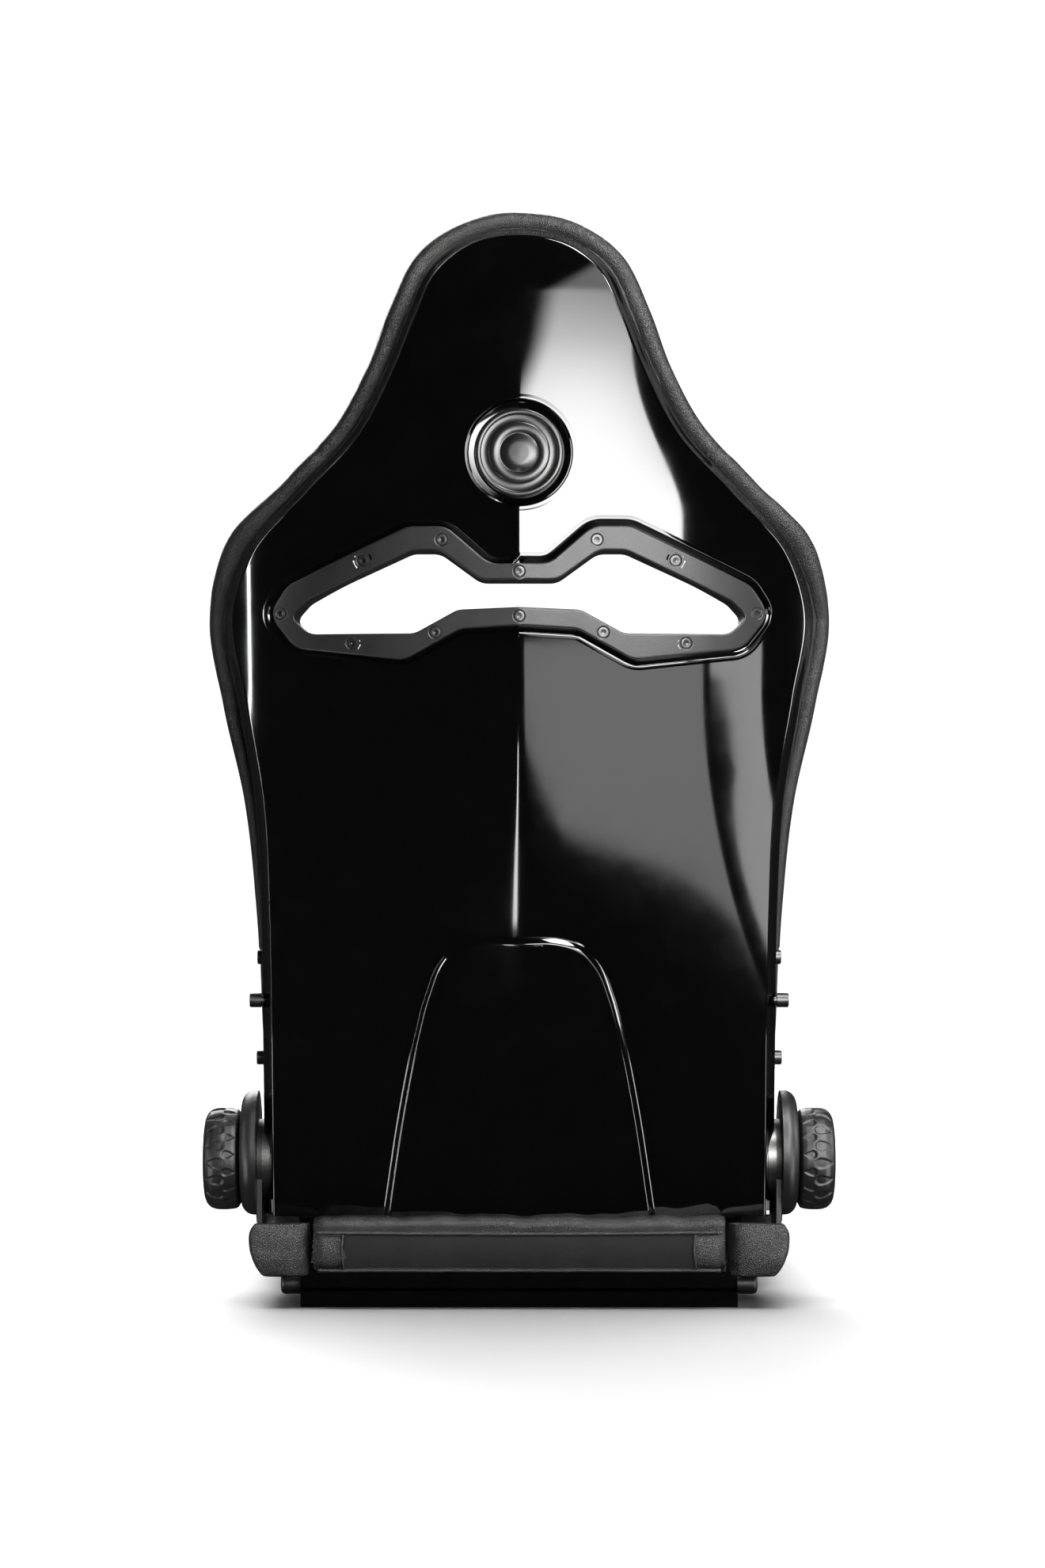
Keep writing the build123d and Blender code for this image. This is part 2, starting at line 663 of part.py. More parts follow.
write_pair(side_rail(), "side_rail")
write(mount_nuts(), "mount_nuts")
write(cross_tube(-TUBE_Y), "front_cross_tube")
write(cross_tube(TUBE_Y), "rear_cross_tube")
write(tube_caps(), "tube_end_caps")
write(cross_member(RAIL_Y[1] + 0.05, 1), "rear_cross_member")
write(cross_member(RAIL_Y[0] - 0.05, -1), "front_cross_member")
write(seat_pan(), "seat_pan")
write(pan_bolts(), "pan_bolts")
write_pair(recliner_bracket(), "recliner_bracket")
write(bracket_bolts(), "bracket_bolts")
write_pair(fixed_disc(), "recliner_fixed_disc")
write_pair(shaft_bush(), "shaft_bush")
write_pair(recliner_cover(), "recliner_cover")
write(seat_cushion(), "seat_cushion")
write_pair(thigh_bolster(), "thigh_bolster")
write(cushion_rear_roll(), "cushion_rear_roll")
write_pair(bolster_rear_corner(), "bolster_rear_corner")

write(cross_shaft(), "cross_shaft")
write_pair(recliner_knob(), "recliner_knob")
write_pair(knob_cap(), "knob_cap")

write(rear_shell(), "rear_shell")
write(slot_trim_ring(), "slot_trim_ring")
write(ring_screws(), "ring_screws")
write(slot_liner(), "slot_liner")
write(shell_badge(), "shell_badge")
write_pair(recline_arm(), "recline_arm")
write(arm_bolts(), "arm_bolts")
write(arm_nuts(), "arm_nuts")
write(arm_spacers(), "arm_spacers")
write_pair(moving_disc(), "recliner_moving_disc")
write(backrest_cross_tube(), "backrest_cross_tube")

padding = upholstery_half()
write(back_cushion(padding), "back_cushion")
write(head_cushion(padding), "head_cushion")
write_pair(back_bolster(padding), "back_bolster")
write_pair(shoulder_wing(padding), "shoulder_wing")
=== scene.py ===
import logging
from dataclasses import dataclass, field
from enum import Enum
from typing import Callable

import bmesh
import bpy
import numpy as np
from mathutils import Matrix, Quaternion, Vector


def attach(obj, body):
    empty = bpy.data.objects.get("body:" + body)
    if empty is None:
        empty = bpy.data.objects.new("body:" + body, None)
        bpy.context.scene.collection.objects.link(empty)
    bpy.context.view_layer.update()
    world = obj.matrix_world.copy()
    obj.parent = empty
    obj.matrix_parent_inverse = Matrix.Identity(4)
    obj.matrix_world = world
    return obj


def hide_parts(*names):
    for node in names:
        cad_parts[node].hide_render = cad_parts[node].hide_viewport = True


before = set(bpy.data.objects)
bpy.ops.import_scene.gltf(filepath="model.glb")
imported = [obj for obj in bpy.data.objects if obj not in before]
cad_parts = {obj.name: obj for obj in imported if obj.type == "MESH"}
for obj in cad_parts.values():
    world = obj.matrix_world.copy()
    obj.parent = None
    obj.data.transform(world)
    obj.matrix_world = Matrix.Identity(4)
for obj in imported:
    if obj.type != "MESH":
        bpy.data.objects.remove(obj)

# Reclining racing seat: a gloss shell with a leather edge on a steel base.
# Sizes are in millimetres here and are turned to metres where a mesh is made.

logging.basicConfig(level=logging.INFO, format="%(message)s")
log = logging.getLogger("racing_seat")
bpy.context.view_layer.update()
MM = 0.001
SLOT_HALF = [(0, 648), (34, 648), (70, 674), (94, 674), (188, 631), (203, 617),
             (186, 601.5), (92, 601.5), (54, 622), (0, 624)]
RING_HALF = [(0, 662), (26, 662), (64, 695), (98, 695), (206, 645), (223, 620),
             (199, 589), (101, 578), (52, 605), (0, 608)]
RING_SCREWS = [(0, 655), (68.3, 683), (138, 665.5), (211.5, 620.5), (147.7, 593), (74, 602),
               (0, 616)]
SHELL_HALF = [(0, 960), (46, 951), (79, 925), (99, 884), (118, 838), (146, 785), (197, 731),
              (248, 677), (266, 626), (255, 545), (239, 455), (233, 350), (231.5, 250), (231, 80)]
SHELL_FRONT = [(118, 60), (106, 200), (112, 330), (135, 440), (150, 540), (156, 620),
               (186, 690), (222, 760), (240, 830), (246, 900), (240, 1000)]
LEATHER_HALF = [(0, 977), (52, 967), (92, 938), (115, 892), (134, 842), (160, 795), (210, 742),
                (265, 688), (282, 626), (270, 540), (252, 455), (242, 350), (238, 250), (236, 100)]
ARCH_HALF = [(0, 333), (37, 332), (58, 325), (73, 309), (84, 282), (95, 240), (107, 180), (122, 84)]
BADGE_Z = 759.0
BADGE_HOLE = 47.6
BADGE_DEPTH = 6.5
RING_CORNER = 24.0
RING_HOLE_GAP = 6.2
CLOTH_FRAMES = 20
CLOTH_PRESSURE = 4.0
SEAT_SEAMS_Y = np.array([-232.0, -160, -88, -16])
SEAT_SEAM_X = 112.0
BACK_SEAMS_Z = np.array([205.0, 285, 365, 445, 525])
BACK_SEAM_X = 108.0
SEAM_ACROSS, SEAM_ALONG = 4.5, 4.0


# ---------------------------------------------------------------- curves and grids

def step(value: np.ndarray, low: float, high: float) -> np.ndarray:
    """Smooth step: 0 below low, 1 above high, and 3t^2 - 2t^3 between."""
    t = np.clip((value - low) / (high - low), 0.0, 1.0)
    return t * t * (3 - 2 * t)


def ripple(points: np.ndarray, length: float, seed: int) -> np.ndarray:
    """Smooth unevenness from -1 to 1: the mean of six sine waves in fixed directions.

    Args:
        points: Places in millimetres, one per row.
        length: Shortest wavelength in millimetres.
        seed: Which set of directions to use.

    Returns:
        One value per place.
    """
    rng = np.random.default_rng(seed)
    waves = rng.normal(size=(6, 3))
    waves /= np.linalg.norm(waves, axis=1, keepdims=True)
    waves *= 2 * np.pi / (length * rng.uniform(1.0, 2.6, (6, 1)))
    phase = rng.uniform(0, 2 * np.pi, 6)
    return np.sin(points @ waves.T + phase).mean(axis=-1) * 1.6


def resample(points: np.ndarray, count: int) -> np.ndarray:
    """The same open line with count points evenly spaced along its length.

    Args:
        points: Open line, one place per row.
        count: Number of places to return.

    Returns:
        The line with its new places.
    """
    length = np.r_[0, np.cumsum(np.linalg.norm(np.diff(points, axis=0), axis=1))]
    at = np.linspace(0, length[-1], count)
    return np.stack([np.interp(at, length, column) for column in points.T], axis=-1)


def curve_through(points: list, count: int) -> np.ndarray:
    """Smooth line through points: cubic pieces whose end slopes are the neighbours' mean slope.

    Args:
        points: Places that the line goes through.
        count: Number of points to return, evenly spaced by length.

    Returns:
        The line, one place per row.
    """
    p = np.asarray(points, float)
    t = np.r_[0, np.cumsum(np.linalg.norm(np.diff(p, axis=0), axis=1))]
    slope = np.gradient(p, t, axis=0)
    s = np.linspace(0, t[-1], 30 * len(p))
    i = np.clip(np.searchsorted(t, s, "right") - 1, 0, len(p) - 2)
    h = (t[i + 1] - t[i])[:, None]
    u = (s - t[i])[:, None] / h
    line = ((2 * u**3 - 3 * u**2 + 1) * p[i] + (u**3 - 2 * u**2 + u) * h * slope[i]
            + (3 * u**2 - 2 * u**3) * p[i + 1] + (u**3 - u**2) * h * slope[i + 1])
    return resample(line, count)


def mirrored_line(half: np.ndarray) -> np.ndarray:
    """Line from -x over the centre to +x, from its half with x >= 0 that starts at the centre."""
    left = half[::-1] * np.array([-1.0, 1.0])
    return np.vstack([left[:-1], half])


def outline(points: list, count: int) -> np.ndarray:
    """Whole outline from foot to foot over the crown, through a half outline and its mirror.

    Args:
        points: Half outline with x >= 0, from the crown to the foot.
        count: Places on each half.

    Returns:
        (x, z) places from the foot at -x to the foot at +x.
    """
    half = curve_through([(-points[1][0], points[1][1]), *points], 4 * count)
    half = half[half[:, 0] >= 0]
    half[0, 0] = 0.0
    return mirrored_line(resample(half, count))


def rounded_loop(half: list, radius: float, arc: int, run: int) -> np.ndarray:
    """Closed polygon with rounded corners, from its half with x >= 0.

    Each corner is a parabola between points r*tan(turn/2) back along its two sides.

    Args:
        half: Corners with x >= 0, from the top of the centre line round to its foot.
        radius: Corner radius.
        arc: Points on each corner.
        run: Points on each straight side.

    Returns:
        Closed loop of places, the same number for every loop with as many corners.
    """
    right = np.asarray(half, float)
    left = right[(right[:, 0] > 0)][::-1] * np.array([-1.0, 1.0])
    p = np.vstack([right, left])
    back, ahead = np.roll(p, 1, axis=0) - p, np.roll(p, -1, axis=0) - p
    length_back = np.linalg.norm(back, axis=1, keepdims=True)
    length_ahead = np.linalg.norm(ahead, axis=1, keepdims=True)
    back, ahead = back / length_back, ahead / length_ahead
    turn = np.arccos(np.clip(-(back * ahead).sum(1, keepdims=True), -1, 1))
    reach = np.minimum(radius * np.tan(turn / 2), 0.45 * np.minimum(length_back, length_ahead))
    start, end = p + back * reach, p + ahead * reach
    u = np.linspace(0, 1, arc)[None, :, None]
    corner = ((1 - u)**2 * start[:, None] + 2 * u * (1 - u) * p[:, None] + u**2 * end[:, None])
    v = np.linspace(0, 1, run + 2)[None, 1:-1, None]
    side = end[:, None] * (1 - v) + np.roll(start, -1, axis=0)[:, None] * v
    return np.concatenate([corner, side], axis=1).reshape(-1, 2)


def signed_gap(places: np.ndarray, loop: np.ndarray) -> np.ndarray:
    """Distance from a closed loop, negative inside it.

    Args:
        places: (x, z) of each place, in any grid shape.
        loop: Closed loop of (x, z).

    Returns:
        Distance for each place, in the same grid shape.
    """
    flat = places.reshape(-1, 2)
    after = np.roll(loop, -1, axis=0)
    gap = np.full(len(flat), 1e9)
    inside = np.zeros(len(flat), bool)
    near = np.all((flat > loop.min(0) - 30) & (flat < loop.max(0) + 30), axis=1)
    q = flat[near]
    side = after - loop
    along = ((q[:, None] - loop) * side).sum(-1) / np.maximum((side**2).sum(-1), 1e-9)
    foot = loop + np.clip(along, 0, 1)[..., None] * side
    gap[near] = np.linalg.norm(q[:, None] - foot, axis=-1).min(1)
    crosses = (loop[:, 1] > q[:, None, 1]) != (after[:, 1] > q[:, None, 1])
    rise = np.where(np.abs(side[:, 1]) < 1e-9, 1e-9, side[:, 1])
    at_x = loop[:, 0] + (q[:, None, 1] - loop[:, 1]) / rise * side[:, 0]
    inside[near] = (crosses & (q[:, None, 0] < at_x)).sum(1) % 2 == 1
    return np.where(inside, -gap, gap).reshape(places.shape[:-1])


def grid_faces(rows: int, columns: int, close_rows: bool, close_columns: bool) -> np.ndarray:
    """Corner numbers of a grid's quads, joined end to end where it closes on itself.

    Args:
        rows: Rows of places.
        columns: Places in each row.
        close_rows: Join the last row to the first.
        close_columns: Join the last column to the first.

    Returns:
        Four corner numbers per quad.
    """
    index = np.arange(rows * columns).reshape(rows, columns)
    if close_rows:
        index = np.vstack([index, index[:1]])
    if close_columns:
        index = np.hstack([index, index[:, :1]])
    corners = [index[:-1, :-1], index[1:, :-1], index[1:, 1:], index[:-1, 1:]]
    return np.stack(corners, axis=-1).reshape(-1, 4)


@dataclass
class MeshPlan:
    """Grids and repeated shapes that together make one piece's mesh, in millimetres."""

    points: list = field(default_factory=list)
    faces: list = field(default_factory=list)
    count: int = 0

    def grid(self, points: np.ndarray, close_rows: bool = False, close_columns: bool = False,
             keep: np.ndarray | None = None) -> None:
        """Add a grid of places.

        Args:
            points: Places, rows by columns by 3.
            close_rows: Join the last row to the first.
            close_columns: Join the last column to the first.
            keep: True for each place that stays; a quad goes when any corner goes.
        """
        rows, columns = points.shape[:2]
        faces = grid_faces(rows, columns, close_rows, close_columns)
        if keep is not None:
            faces = faces[keep.reshape(-1)[faces].all(axis=1)]
        self.add(points.reshape(-1, 3), faces)

    def add(self, points: np.ndarray, faces: np.ndarray) -> None:
        """Add places and the quads between them.

        Args:
            points: Places, one per row.
            faces: Four corner numbers per quad, counted from the first of these places.
        """
        self.points.append(points)
        self.faces.append(faces + self.count)
        self.count += len(points)

    def build(self, name: str, outward: tuple | None = None) -> bpy.types.Object:
        """Make the mesh object, with doubles merged and faces pointing outwards.

        Args:
            name: The object's name.
            outward: A direction that the open surface faces on the whole; None for closed shapes.

        Returns:
            The new object, at the origin.
        """
        points = np.concatenate(self.points) * MM
        faces = np.concatenate(self.faces)
        mesh = bpy.data.meshes.new(name)
        mesh.vertices.add(len(points))
        mesh.vertices.foreach_set("co", points.astype(np.float32).ravel())
        mesh.loops.add(faces.size)
        mesh.loops.foreach_set("vertex_index", faces.astype(np.int32).ravel())
        mesh.polygons.add(len(faces))
        mesh.polygons.foreach_set("loop_start", np.arange(0, faces.size, 4, dtype=np.int32))
        mesh.update(calc_edges=True)
        tidy = bmesh.new()
        tidy.from_mesh(mesh)
        bmesh.ops.remove_doubles(tidy, verts=tidy.verts, dist=2e-5)
        bmesh.ops.delete(tidy, geom=[v for v in tidy.verts if not v.link_faces], context="VERTS")
        bmesh.ops.recalc_face_normals(tidy, faces=tidy.faces)
        tidy.to_mesh(mesh)
        tidy.free()
        if outward is not None:
            facing = sum((p.normal * p.area for p in mesh.polygons), Vector()).dot(Vector(outward))
            if facing < 0:
                mesh.flip_normals()
        mesh.shade_smooth()
        piece = bpy.data.objects.new(name, mesh)
        bpy.context.scene.collection.objects.link(piece)
        return piece


def dress(piece: bpy.types.Object, finish: "Finish", body: str, *stands_for: str,
          sharp: float = 0.0) -> bpy.types.Object:
    """Give a piece its finish, its body and the CAD nodes it stands for.

    Args:
        piece: The object.
        finish: Its finish.
        body: The CAD body that it moves with.
        *stands_for: CAD nodes that it replaces.
        sharp: Angle in degrees over which an edge stays sharp; 0 for none.

    Returns:
        The same object.
    """
    piece.data.materials.clear()
    piece.data.materials.append(finish.material())
    if sharp:
        piece.data.set_sharp_from_angle(angle=np.radians(sharp))
    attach(piece, body)
    if stands_for:
        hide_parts(*stands_for)
    log.info("%s: %d faces on %s", piece.name, len(piece.data.polygons), body)
    return piece


def tube(plan: MeshPlan, path: np.ndarray, radius: float, up: tuple, sides: int = 10,
         closed: bool = False) -> None:
    """Add a round tube: circles square to the path, each held level by the same up direction.

    Args:
        plan: Where the tube is added.
        path: Its middle line.
        radius: Its radius.
        up: Direction that holds the circles level, never along the path.
        sides: Places round each circle.
        closed: Whether the path is a loop.
    """
    if closed:
        ahead = np.roll(path, -1, axis=0) - np.roll(path, 1, axis=0)
    else:
        ahead = np.gradient(path, axis=0)
    ahead = ahead / np.maximum(np.linalg.norm(ahead, axis=1, keepdims=True), 1e-9)
    across = np.cross(ahead, np.asarray(up, float))
    across /= np.maximum(np.linalg.norm(across, axis=1, keepdims=True), 1e-9)
    lift = np.cross(across, ahead)
    angle = np.linspace(0, 2 * np.pi, sides, endpoint=False)[None, :, None]
    spoke = np.cos(angle) * across[:, None] + np.sin(angle) * lift[:, None]
    ring = path[:, None] + radius * spoke
    if not closed:
        ring = np.concatenate([np.repeat(path[:1, None], sides, 1), ring,
                               np.repeat(path[-1:, None], sides, 1)])
    plan.grid(ring, close_rows=closed, close_columns=True)


def stitches(plan: MeshPlan, path: np.ndarray, up: tuple, pitch: float = 4.2, long: float = 3.0,
             thick: float = 0.45) -> None:
    """Add a row of stitches: short spindles of thread, one each pitch, that dip at both ends.

    Args:
        plan: Where the stitches are added.
        path: The row that they follow.
        up: Direction away from the surface.
        pitch: Distance from one stitch to the next.
        long: Length of a stitch.
        thick: Half the thickness of the thread.
    """
    length = np.linalg.norm(np.diff(path, axis=0), axis=1).sum()
    middle = resample(path, max(int(length / pitch), 2))
    ahead = np.gradient(middle, axis=0)
    ahead /= np.linalg.norm(ahead, axis=1, keepdims=True)
    across = np.cross(ahead, np.asarray(up, float))
    across /= np.linalg.norm(across, axis=1, keepdims=True)
    lift = np.cross(across, ahead)
    u = np.linspace(-1, 1, 6)[:, None]
    angle = np.linspace(0, 2 * np.pi, 6, endpoint=False)[None, :]
    girth = thick * np.sqrt(np.maximum(1 - u**4, 0))
    template = np.stack([u * long / 2 + 0 * angle, girth * np.cos(angle),
                         girth * np.sin(angle) - 0.5 * thick * u**2], axis=-1).reshape(-1, 3)
    axes = np.stack([ahead, across, lift], axis=1)
    places = middle[:, None] + np.einsum("tk,nkc->ntc", template, axes)
    faces = grid_faces(6, 6, False, True)
    every = faces[None] + np.arange(len(middle))[:, None, None] * 36
    plan.add(places.reshape(-1, 3), every.reshape(-1, 4))


# ---------------------------------------------------------------- finishes

class Texture(Enum):
    """Surface effects that a finish may have."""

    PEBBLE = "pebble_grain"
    NAP = "suede_nap"
    MOULDED = "moulded_texture"
    POLISHED = "polished_coat"


GROUP_OUTPUTS = [("Height", "NodeSocketFloat"), ("Tone", "NodeSocketFloat")]


class EffectGroup:
    """A shader node group with Vector and Scale inputs, and Height and Tone outputs."""

    def __init__(self, texture: Texture) -> None:
        """Start an empty group for one effect.

        Args:
            texture: The effect, whose value names the group.
        """
        self.tree = bpy.data.node_groups.new(texture.value, "ShaderNodeTree")
        self.tree.interface.new_socket("Vector", in_out="INPUT", socket_type="NodeSocketVector")
        self.tree.interface.new_socket("Scale", in_out="INPUT", socket_type="NodeSocketFloat")
        for name, kind in GROUP_OUTPUTS:
            self.tree.interface.new_socket(name, in_out="OUTPUT", socket_type=kind)
        self.source = self.tree.nodes.new("NodeGroupInput")
        self.sink = self.tree.nodes.new("NodeGroupOutput")

    def math(self, operation: str, a: object, b: object, clamp: bool = False) -> object:
        """Join two values or sockets with one operation and return its socket.

        Args:
            operation: A math node operation.
            a: First number or socket.
            b: Second number or socket.
            clamp: Whether the result is held between 0 and 1.

        Returns:
            The node's output.
        """
        node = self.tree.nodes.new("ShaderNodeMath")
        node.operation, node.use_clamp = operation, clamp
        for socket, value in zip(node.inputs, (a, b)):
            self.feed(socket, value)
        return node.outputs[0]

    def feed(self, socket: object, value: object) -> None:
        """Link a socket, or set a number, on an input.

        Args:
            socket: The input.
            value: A socket to link from, or a number.
        """
        if isinstance(value, bpy.types.NodeSocket):
            self.tree.links.new(value, socket)
        else:
            socket.default_value = value

    def noise(self, factor: float, detail: float, roughness: float = 0.55) -> object:
        """Noise at a multiple of the group's scale.

        Args:
            factor: Multiple of the group's scale.
            detail: Number of finer layers.
            roughness: Strength of each finer layer.

        Returns:
            The noise's value.
        """
        node = self.tree.nodes.new("ShaderNodeTexNoise")
        node.inputs["Detail"].default_value = detail
        node.inputs["Roughness"].default_value = roughness
        self.feed(node.inputs["Vector"], self.source.outputs["Vector"])
        self.feed(node.inputs["Scale"], self.math("MULTIPLY", self.source.outputs["Scale"], factor))
        return node.outputs["Fac"]

    def cells(self, factor: float, feature: str) -> object:
        """Cell pattern at a multiple of the group's scale, with its grid pushed about by noise.

        Args:
            factor: Multiple of the group's scale.
            feature: Which distance the pattern gives.

        Returns:
            That distance.
        """
        push = self.tree.nodes.new("ShaderNodeVectorMath")
        push.operation = "MULTIPLY_ADD"
        noise = self.tree.nodes.new("ShaderNodeTexNoise")
        self.feed(noise.inputs["Vector"], self.source.outputs["Vector"])
        self.feed(noise.inputs["Scale"], self.math("MULTIPLY", self.source.outputs["Scale"], 0.6))
        self.feed(push.inputs[0], noise.outputs["Color"])
        push.inputs[1].default_value = (0.0008, 0.0008, 0.0008)
        self.feed(push.inputs[2], self.source.outputs["Vector"])
        node = self.tree.nodes.new("ShaderNodeTexVoronoi")
        node.feature = feature
        self.feed(node.inputs["Vector"], push.outputs[0])
        self.feed(node.inputs["Scale"], self.math("MULTIPLY", self.source.outputs["Scale"], factor))
        return node.outputs["Distance"]

    def give(self, height: object, tone: object) -> bpy.types.ShaderNodeTree:
        """Send the two results out and return the finished group.

        Args:
            height: Height of the surface.
            tone: Place between the two colours.

        Returns:
            The group.
        """
        self.feed(self.sink.inputs["Height"], height)
        self.feed(self.sink.inputs["Tone"], tone)
        return self.tree


def pebble_grain() -> bpy.types.ShaderNodeTree:
    """Leather grain: rounded cells with thin creases between, on broad soft swellings.

    Returns:
        The effect group.
    """
    group = EffectGroup(Texture.PEBBLE)
    crease = group.math("MULTIPLY", group.cells(1.0, "DISTANCE_TO_EDGE"), 3.2, clamp=True)
    fine = group.math("MULTIPLY", group.cells(2.3, "DISTANCE_TO_EDGE"), 2.5, clamp=True)
    both = group.math("ADD", crease, group.math("MULTIPLY", fine, 0.35))
    height = group.math("ADD", both, group.math("MULTIPLY", group.noise(0.25, 3.0), 0.6))
    tone = group.math("MULTIPLY", group.noise(0.02, 4.0), crease)
    return group.give(height, tone)


def suede_nap() -> bpy.types.ShaderNodeTree:
    """Brushed nap: fine fibre noise, with patches where the nap lies the other way.

    Returns:
        The effect group.
    """
    group = EffectGroup(Texture.NAP)
    fibre = group.noise(1.0, 5.0, 0.75)
    patch = group.noise(0.012, 3.0, 0.6)
    height = group.math("ADD", fibre, group.math("MULTIPLY", group.noise(0.1, 3.0), 0.8))
    tone = group.math("ADD", group.math("MULTIPLY", fibre, 0.45),
                      group.math("MULTIPLY", patch, 0.6))
    return group.give(height, tone)


def moulded_texture() -> bpy.types.ShaderNodeTree:
    """Spark-eroded mould texture: fine pits, and faint broad flow marks in the tone.

    Returns:
        The effect group.
    """
    group = EffectGroup(Texture.MOULDED)
    pits = group.cells(1.0, "F1")
    height = group.math("ADD", group.math("MULTIPLY", pits, 0.8), group.noise(0.4, 4.0))
    tone = group.math("ADD", group.math("MULTIPLY", group.noise(0.03, 3.0), 0.8),
                      group.math("MULTIPLY", pits, 0.2))
    return group.give(height, tone)


def polished_coat() -> bpy.types.ShaderNodeTree:
    """Painted gloss: very shallow long waves, and wiped smears and dust specks in the tone.

    Returns:
        The effect group.
    """
    group = EffectGroup(Texture.POLISHED)
    waves = group.noise(1.0, 2.0, 0.4)
    smear = group.noise(2.2, 6.0, 0.7)
    speck = group.math("GREATER_THAN", group.noise(90.0, 2.0), 0.74)
    tone = group.math("ADD", group.math("POWER", smear, 2.0), group.math("MULTIPLY", speck, 0.4))
    return group.give(waves, tone)


GROUP_MAKERS = {Texture.PEBBLE: pebble_grain, Texture.NAP: suede_nap,
                Texture.MOULDED: moulded_texture, Texture.POLISHED: polished_coat}


@dataclass(frozen=True)
class Finish:
    """One finish: two colours and two roughnesses that follow the effect's tone, and its bump."""

    name: str
    slot: str
    texture: Texture
    scale: float
    depth: float
    dark: tuple
    light: tuple
    rough: tuple
    metallic: float = 0.0
    coat: float = 0.0
    sheen: float = 0.0
    specular: float = 0.5
    ior: float = 1.5

    def material(self) -> bpy.types.Material:
        """Return the finish's material, made the first time it is asked for."""
        made = bpy.data.materials.get(self.name)
        return made if made is not None else self.make()

    def make(self) -> bpy.types.Material:
        """Build the node tree: effect group to colour, roughness and bump.

        Returns:
            The new material.
        """
        material = bpy.data.materials.new(self.name)
        material.use_nodes = True
        tree = material.node_tree
        shader = tree.nodes["Principled BSDF"]
        where = tree.nodes.new("ShaderNodeTexCoord")
        effect = tree.nodes.new("ShaderNodeGroup")
        made = bpy.data.node_groups.get(self.texture.value)
        effect.node_tree = made if made is not None else GROUP_MAKERS[self.texture]()
        effect.inputs["Scale"].default_value = self.scale
        tree.links.new(where.outputs["Object"], effect.inputs["Vector"])
        colour = tree.nodes.new("ShaderNodeValToRGB")
        colour.color_ramp.elements[0].position, colour.color_ramp.elements[1].position = 0.25, 0.8
        colour.color_ramp.elements[0].color = (*self.dark, 1)
        colour.color_ramp.elements[1].color = (*self.light, 1)
        rough = tree.nodes.new("ShaderNodeMapRange")
        rough.inputs["To Min"].default_value, rough.inputs["To Max"].default_value = self.rough
        bump = tree.nodes.new("ShaderNodeBump")
        bump.inputs["Distance"].default_value = self.depth * MM
        tree.links.new(effect.outputs["Tone"], colour.inputs["Fac"])
        tree.links.new(effect.outputs["Tone"], rough.inputs["Value"])
        tree.links.new(effect.outputs["Height"], bump.inputs["Height"])
        tree.links.new(colour.outputs["Color"], shader.inputs["Base Color"])
        tree.links.new(rough.outputs["Result"], shader.inputs["Roughness"])
        tree.links.new(bump.outputs["Normal"], shader.inputs["Normal"])
        shader.inputs["Metallic"].default_value = self.metallic
        shader.inputs["IOR"].default_value = self.ior
        shader.inputs["Specular IOR Level"].default_value = self.specular
        shader.inputs["Coat Weight"].default_value = self.coat
        shader.inputs["Coat Roughness"].default_value = 0.02
        shader.inputs["Sheen Weight"].default_value = self.sheen
        shader.inputs["Sheen Roughness"].default_value = 0.35
        return material


def grey(value: float, warm: float = 0.0) -> tuple:
    """A grey, a little redder than blue when warm is above 0."""
    return (value * (1 + warm), value, value * (1 - warm))


SHELL_GLOSS = Finish("gloss_black_shell", "shell_gloss_black", Texture.POLISHED, 14, 0.02,
                     grey(0.0025), grey(0.006), (0.045, 0.13), ior=1.52)
BADGE_BLACK = Finish("badge_black", "badge_black", Texture.MOULDED, 900, 0.05,
                     grey(0.012), grey(0.02), (0.26, 0.38))
TRIM_SATIN = Finish("satin_trim", "trim_satin_grey", Texture.MOULDED, 1400, 0.06,
                    grey(0.022), grey(0.034), (0.34, 0.46))
LEATHER = Finish("pebbled_leather", "leather_black", Texture.PEBBLE, 620, 0.30,
                 grey(0.005, 0.02), grey(0.014, 0.02), (0.36, 0.52), specular=0.55)
LINER_LEATHER = Finish("liner_leather", "liner_leather", Texture.PEBBLE, 700, 0.15,
                       grey(0.006), grey(0.014), (0.42, 0.58))
SUEDE = Finish("black_suede", "suede_black", Texture.NAP, 1500, 0.25,
               grey(0.010), grey(0.034), (0.82, 0.97), sheen=0.5, specular=0.25)
PLASTIC = Finish("moulded_plastic", "plastic_black", Texture.MOULDED, 1100, 0.08,
                 grey(0.010), grey(0.018), (0.36, 0.52))
BUSH = Finish("bush_plastic", "bush_plastic", Texture.MOULDED, 800, 0.04,
              grey(0.28), grey(0.4), (0.4, 0.5))
FASTENER = Finish("oxide_fastener", "fastener_black", Texture.MOULDED, 1500, 0.03,
                  grey(0.05), grey(0.10), (0.30, 0.44), metallic=1.0)
ZINC = Finish("zinc_plate", "steel_zinc", Texture.MOULDED, 500, 0.03,
              grey(0.09, 0.02), grey(0.16, 0.01), (0.30, 0.42), metallic=1.0)
STEEL_GLOSS = Finish("gloss_steel", "steel_gloss_black", Texture.POLISHED, 25, 0.03,
                     grey(0.003), grey(0.007), (0.07, 0.2))
STEEL_SATIN = Finish("satin_steel", "steel_satin_black", Texture.MOULDED, 700, 0.08,
                     grey(0.012), grey(0.024), (0.38, 0.5))
THREAD = Finish("black_thread", "leather_black", Texture.NAP, 2500, 0.1,
                grey(0.02), grey(0.045), (0.5, 0.7))
FINISHES = [SHELL_GLOSS, BADGE_BLACK, TRIM_SATIN, LEATHER, LINER_LEATHER, SUEDE, PLASTIC, BUSH,
            FASTENER, ZINC, STEEL_GLOSS, STEEL_SATIN]


